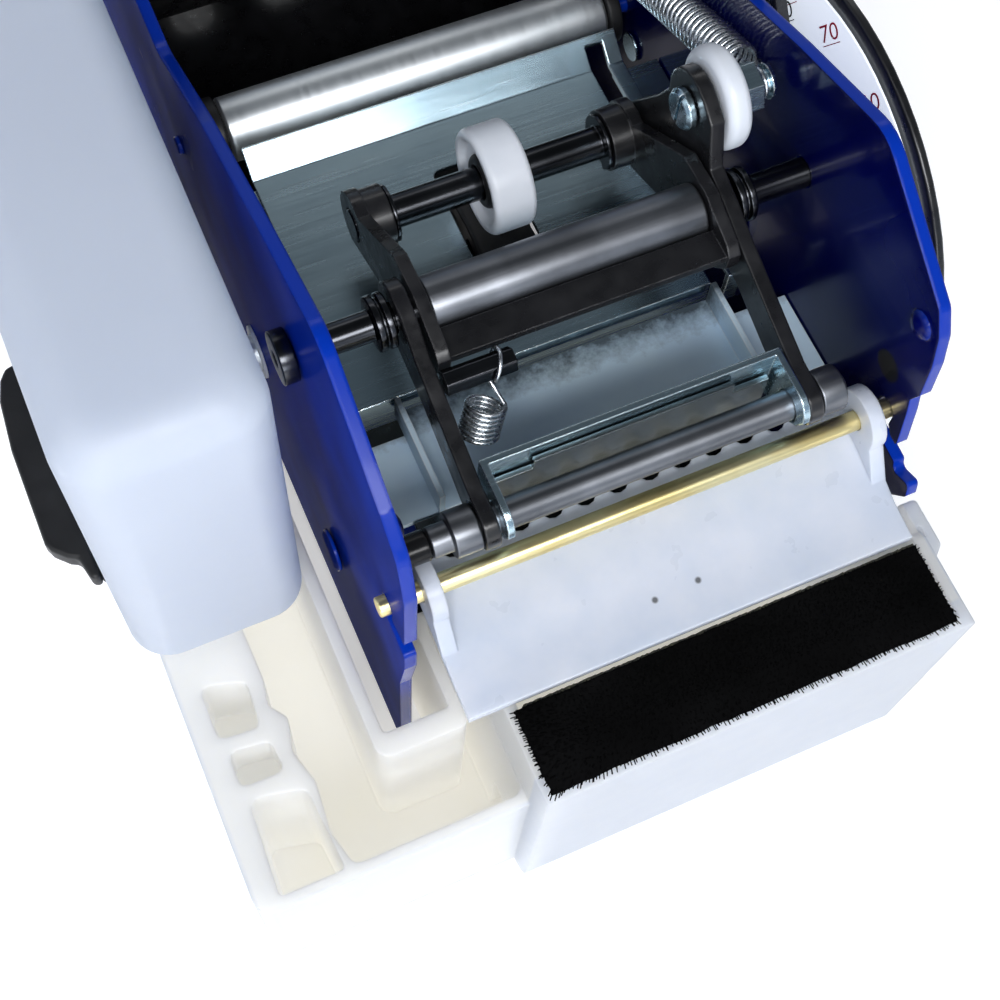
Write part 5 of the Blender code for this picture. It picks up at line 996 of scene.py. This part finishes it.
def print_on_dial(mesh, text, radius, degrees):
    """Adds a number, centred at a place on the dial, and the rule under it."""
    curve = bpy.data.curves.new("number", "FONT")
    curve.body = text
    curve.size = 1.0
    curve.resolution_u = 3
    holder = bpy.data.objects.new("number", curve)
    bpy.context.scene.collection.objects.link(holder)
    bpy.context.view_layer.update()
    shape = bpy.data.meshes.new_from_object(holder)
    bpy.data.objects.remove(holder)
    corners = np.array([v.co[:2] for v in shape.vertices])
    low, high = corners.min(axis=0), corners.max(axis=0)
    across = Vector((0, math.cos(reading), math.sin(reading))) * number_wide
    up_way = Vector((0, math.cos(upright), math.sin(upright))) * number_tall
    angle = math.radians(degrees)
    centre = spot(0, dial_y + radius * math.cos(angle), dial_z + radius * math.sin(angle))
    centre.x = print_x
    places = (corners - low) / (high - low) - 0.5
    verts = [mesh.verts.new(centre + across * u + up_way * v) for u, v in places]
    for polygon in shape.polygons:
        mesh.faces.new([verts[i] for i in polygon.vertices])
    mesh.faces.new([mesh.verts.new(centre + across * u + up_way * v) for u, v in rule_line])
    bpy.data.meshes.remove(shape)


red_ring = ((50, 128), (60, 105), (70, 82), (80, 60), (90, 38))
black_ring = ((40, 58), (50, 28))
for colour, radius, numbers in (("red", 43.0, red_ring), ("black", 38.8, black_ring)):
    print_mesh = bmesh.new()
    for number, degrees in numbers:
        print_on_dial(print_mesh, str(number), radius, degrees)
    piece = add_piece(colour + "_numbers", print_mesh, colour + "_ink", "gauge_label", replaces=False)

# %% [markdown]
# ## Stage, light and camera
# The picture is a product shot: white all round, with soft light. The floor takes a faint shadow. To the
# camera, and in reflections, it shines with just enough white of its own to close with the background.

# %% Floor
floor_mesh = bmesh.new()
bmesh.ops.create_grid(floor_mesh, x_segments=1, y_segments=1, size=6.0)
floor_data = bpy.data.meshes.new("floor")
floor_mesh.to_mesh(floor_data)
floor_mesh.free()
floor = bpy.data.objects.new("floor", floor_data)
floor.location.z = cad_box[0][2] - 0.2 * MM
bpy.context.scene.collection.objects.link(floor)
white, tree, shader = bare_finish("white_floor", (0.90, 0.90, 0.91), 0.8)
floor_glow = 0.34
seen = add_node(tree, "ShaderNodeLightPath").outputs
mirrored = maths(tree, "MAXIMUM", seen["Is Camera Ray"], seen["Is Glossy Ray"])
either = maths(tree, "MAXIMUM", mirrored, seen["Is Transmission Ray"])
dress(shader, {"Specular IOR Level": 0.0, "Emission Color": (1.0, 1.0, 1.0, 1.0),
               "Emission Strength": maths(tree, "MULTIPLY", either, floor_glow)})
floor_data.materials.append(white)
print("floor at", round(floor.location.z, 4))

# %% [markdown]
# The largest soft box stands above and in front, and a second one low in front lights the edges that
# face the camera. A weak one on the left and a strip behind add lines of light on round steel. The sky is
# dark overhead and pale near the horizon, so upright metal mirrors something bright.

# %% Lamps and world
world = bpy.data.worlds.new("studio")
bpy.context.scene.world = world
world.use_nodes = True
tree = world.node_tree
sky = stops(tree, between(tree, axes(tree, "Generated")["Z"], 0.0, 1.0, -0.1, 1.0),
            [(0.0, (0.50, 0.56, 0.64)), (0.25, (0.46, 0.56, 0.70)), (0.55, (0.34, 0.36, 0.39)),
             (0.85, (0.09, 0.10, 0.11)), (1.0, (0.07, 0.08, 0.09))])
dress(tree.nodes["Background"], {"Color": sky, "Strength": 0.8})


def lamp(name, place, wide, tall, power, colour=(1.0, 1.0, 1.0)):
    """A soft box that looks at the machine; tall lies along its own up direction."""
    light = bpy.data.lights.new(name, "AREA")
    light.shape = "RECTANGLE"
    light.size, light.size_y = wide, tall
    light.energy = power
    light.color = colour
    holder = bpy.data.objects.new(name, light)
    holder.location = place
    holder.rotation_euler = (looked_at - Vector(place)).to_track_quat("-Z", "Y").to_euler()
    bpy.context.scene.collection.objects.link(holder)


looked_at = Vector((0.0, -0.08, 0.08))
lamp("front_box", (-0.22, -0.98, 1.12), 1.0, 0.40, 17.4, (0.97, 0.98, 1.0))
lamp("left_box", (-0.95, -0.25, 1.15), 0.7, 0.7, 2.2, (0.97, 0.98, 1.0))
lamp("rear_strip", (0.12, 0.895, 0.992), 1.6, 0.24, 1.3)
lamp("low_front", (-0.45, -1.45, 0.42), 1.0, 0.5, 6.0, (0.93, 0.96, 1.0))
print("lamps: 4")

# %% [markdown]
# The camera stands where the photograph was taken from: high, to the front left and close by. Its place
# and its three axes were worked out from the machine's straight edges.

# %% Camera
right = Vector((0.9136973, -0.40328713, 0.05016708))
upward = Vector((0.35147718, 0.84615025, 0.40061645))
back = Vector((-0.20401235, -0.34840958, 0.91487143))
lens = bpy.data.cameras.new("photo_camera")
lens.sensor_width = 36.0
lens.lens = 58.05
lens.clip_start = 0.01
camera = bpy.data.objects.new("photo_camera", lens)
stand = Matrix((right, upward, back)).transposed().to_4x4()
stand.translation = Vector((-0.07156, -0.24758, 0.35788))
camera.matrix_world = stand
bpy.context.scene.collection.objects.link(camera)
bpy.context.scene.camera = camera
bpy.context.scene.view_settings.view_transform = "Standard"
print("camera", [round(v, 3) for v in stand.translation])
